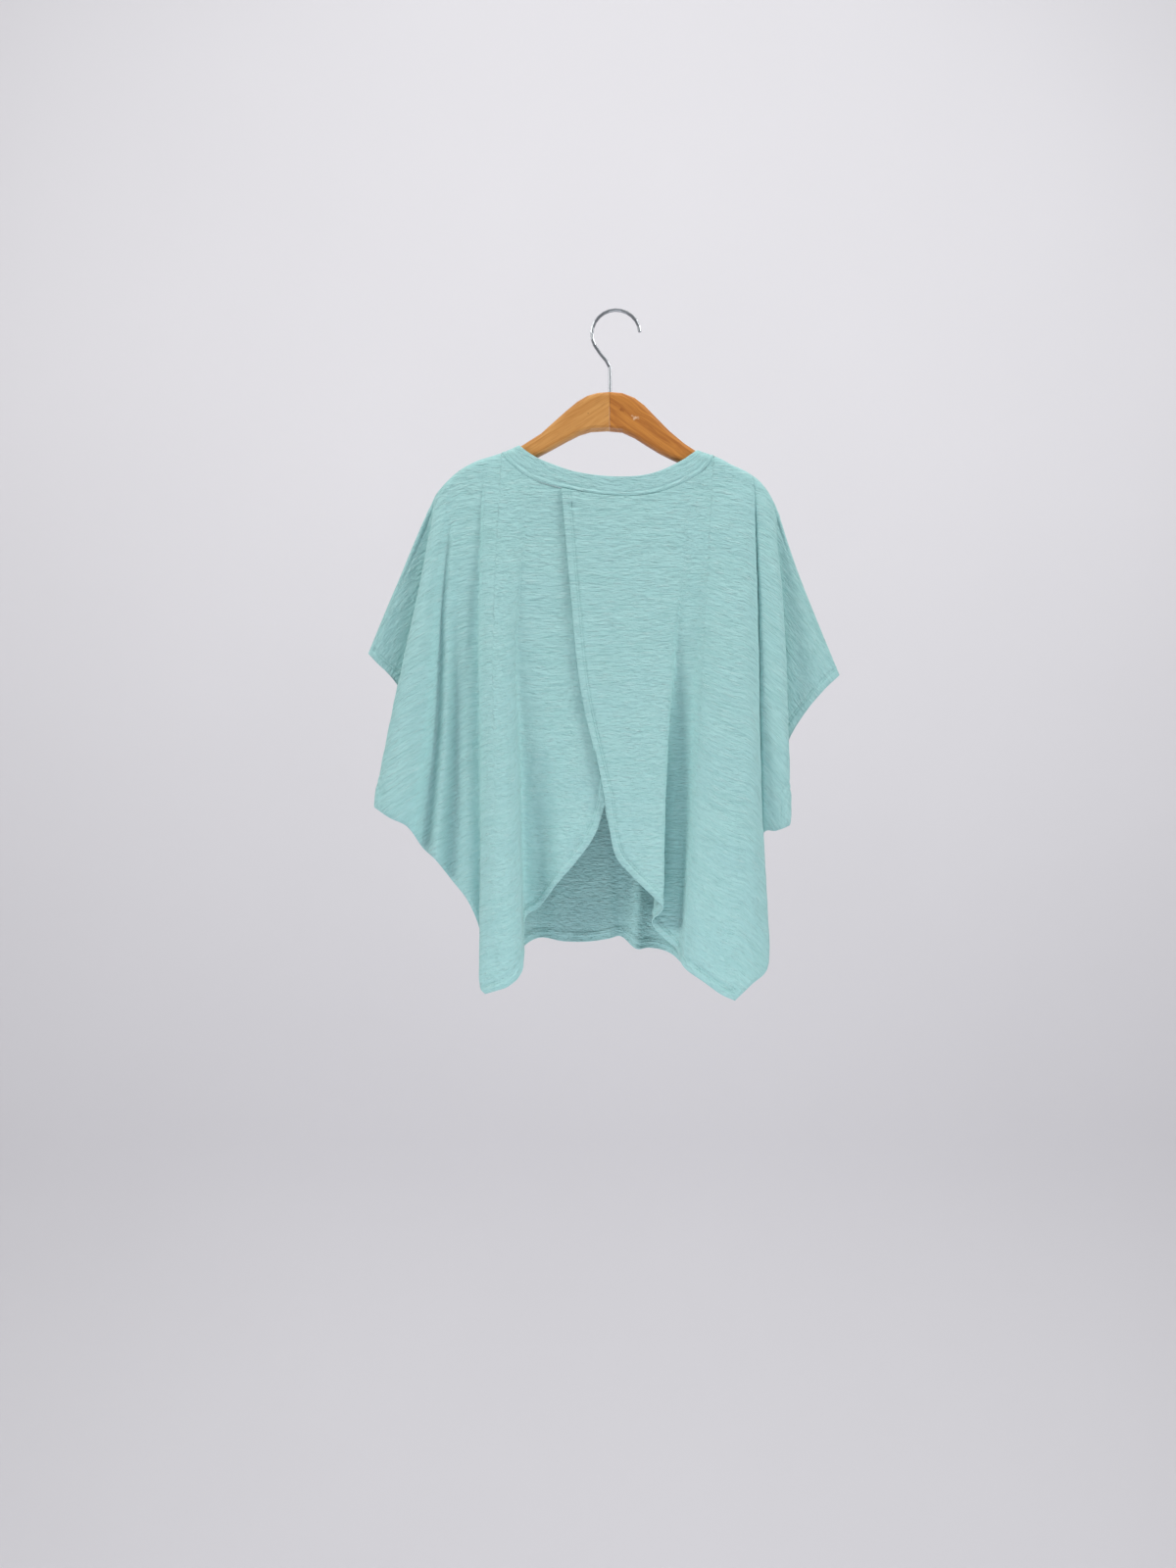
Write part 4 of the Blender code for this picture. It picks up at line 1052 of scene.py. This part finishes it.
def make_front(grid, stitch, knit, thread):
    """The whole front with both sleeves, its twin-needle rows showing on both sides."""
    names = [fold.name for fold in FRONT_LEFT_FOLDS + FRONT_MIDDLE_FOLDS + FRONT_RIGHT_FOLDS]
    middle = names.index("front_d") * FRONT_STEPS
    last = len(grid) - 1
    corners = (names.index("corner") * FRONT_STEPS,
               last - names[::-1].index("corner") * FRONT_STEPS)
    underarms = (names.index("fan_edge") * FRONT_STEPS,
                 last - names[::-1].index("outer_edge") * FRONT_STEPS)
    left = flat_cut(grid[:middle + 1][::-1], -1, middle - underarms[0], middle - corners[0])
    right = flat_cut(grid[middle:], 1, underarms[1] - middle, corners[1] - middle)
    flat = np.concatenate([left[::-1], right[1:]])
    points = in_space(grid)
    outer, inner, normals = dress_panel(
        grid, flat, 1,
        hems=[points[corners[0]:corners[1] + 1, -1], points[:underarms[0] + 1, -1],
              points[underarms[1]:, -1]],
        seams=[points[underarms[0]:corners[0] + 1, -1], points[corners[1]:underarms[1] + 1, -1],
               points[0], points[-1]],
        topstitched=None, creases=FRONT_CREASES, lifted=None, seed=41.0)
    cloth = finish_panel("front_jersey", outer, inner, flat, True, knit)
    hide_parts("front")
    rows = []
    for surface, facing in ((outer, normals), (inner, -normals)):
        for needle in TWIN_NEEDLE:
            for first, end in ((0, underarms[0]), corners, (underarms[1], last)):
                part = slice(first, end + 1)
                away = distance_to(points[part], points[part, -1])[:, ::-1]
                rows.append(crossing(away, surface[part, ::-1], facing[part, ::-1], needle))
    stitches = sew("front_stitches", rows, stitch, thread)


def make_cloth(knit, thread):
    """The two halves of the back, the front and the neckband, in the order they are sewn."""
    left = over_arms(panel_grid(BACK_LEFT_FOLDS, BACK_NECK, BACK_STEPS))
    right = over_arms(panel_grid(BACK_RIGHT_FOLDS, BACK_NECK, BACK_STEPS))
    left[-1, :, 2] = right[-1, :, 2] = 0
    front = front_grid(left, right)
    front[0, :, 2] = front[-1, :, 2] = 0
    stitch = one_stitch()
    make_back_half("back_left", left, BACK_LEFT_FOLDS, -1, 11.0, stitch, knit, thread)
    make_back_half("back_right", right, BACK_RIGHT_FOLDS, 1, 23.0, stitch, knit, thread)
    make_front(front, stitch, knit, thread)
    band = make_neckband(knit)
    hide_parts("neckband")


def select_back_edge(sweep):
    """Select only the edge where the floor meets the backdrop."""
    work = bmesh.from_edit_mesh(sweep.data)
    for edge in work.edges:
        edge.select = all(abs(corner.co.y - BACKDROP_Y) < 0.01 and corner.co.z < FLOOR_Z + 0.01
                          for corner in edge.verts)
    bmesh.update_edit_mesh(sweep.data)


def make_studio():
    """A pale sweep of floor and backdrop well behind the shirt, and broad soft lights."""
    bpy.ops.object.select_all(action="DESELECT")
    bpy.ops.mesh.primitive_plane_add(size=2)
    sweep = bpy.context.object
    sweep.name = "studio_sweep"
    bpy.ops.object.mode_set(mode="EDIT")
    bpy.ops.transform.resize(value=(SWEEP_HALF_WIDTH, (BACKDROP_Y - SWEEP_NEAR_Y) / 2, 1))
    bpy.ops.transform.translate(value=(0, (BACKDROP_Y + SWEEP_NEAR_Y) / 2, FLOOR_Z))
    bpy.ops.mesh.select_all(action="DESELECT")
    bpy.ops.mesh.select_mode(type="EDGE")
    select_back_edge(sweep)
    rise = (0, 0, SWEEP_TOP_Z - FLOOR_Z)
    bpy.ops.mesh.extrude_region_move(TRANSFORM_OT_translate={"value": rise})
    select_back_edge(sweep)
    bpy.ops.mesh.bevel(offset=SWEEP_BEND, segments=13, affect="EDGES")
    bpy.ops.object.mode_set(mode="OBJECT")
    sweep.data.shade_smooth()
    sweep.data.materials.append(painted_board())

    for name, place, aim, size, power, tone in LIGHTS:
        light = bpy.data.lights.new(name, "AREA")
        light.shape = "DISK"
        light.size = size
        light.energy = power
        light.color = to_linear(tone)[:3]
        lamp = bpy.data.objects.new(name, light)
        lamp.location = place
        lamp.rotation_euler = (Vector(aim) - Vector(place)).to_track_quat("-Z", "Y").to_euler()
        bpy.context.scene.collection.objects.link(lamp)
    world = bpy.data.worlds.new("studio_air")
    world.use_nodes = True
    air = world.node_tree.nodes["Background"]
    air.inputs["Color"].default_value = to_linear("#EEF0F6")
    air.inputs["Strength"].default_value = AIR
    bpy.context.scene.world = world
    bpy.context.scene.view_settings.view_transform = "Standard"


def make_camera():
    """Level, straight in front of the shirt's back, at the photograph's distance and lens."""
    camera = bpy.data.cameras.new("camera")
    camera.sensor_width = CAMERA_SENSOR
    camera.lens = CAMERA_LENS
    holder = bpy.data.objects.new("camera", camera)
    holder.location = CAMERA_PLACE
    holder.rotation_euler = (math.pi / 2, 0, 0)
    bpy.context.scene.collection.objects.link(holder)
    bpy.context.scene.camera = holder


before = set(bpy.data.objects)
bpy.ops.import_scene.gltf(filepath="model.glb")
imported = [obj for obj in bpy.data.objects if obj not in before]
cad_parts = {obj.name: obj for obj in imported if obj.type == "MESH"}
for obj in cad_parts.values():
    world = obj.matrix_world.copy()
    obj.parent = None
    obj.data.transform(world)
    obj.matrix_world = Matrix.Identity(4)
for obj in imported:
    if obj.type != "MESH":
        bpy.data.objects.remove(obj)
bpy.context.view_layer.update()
make_camera()
make_studio()
make_cloth(slub_knit(), sewing_thread())
# Marks in the wood: place and radius in millimetres, tone, strength. Each arm has a knot and
# the dark one a scuff.
light_wood = varnished_wood("satin_varnished_beech", math.radians(32), "#D29A56", "#BC7E3B", [
    ((-31, -6.5, -116), 1.6, "#5A3212", 0.9)])
dark_wood = varnished_wood("satin_varnished_heart_beech", math.radians(-36), "#C98539", "#9F5B21", [
    ((6, -6.5, -112), 5.0, "#8E4F18", 0.6), ((21.5, -6.5, -121), 7.5, "#E6C5A4", 0.7)])
for node, material in (("hanger_arm_left", light_wood), ("hanger_arm_right", dark_wood),
                       ("hanger_hook", plated_wire())):
    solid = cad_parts[node]
    solid.data.materials.clear()
    solid.data.materials.append(material)
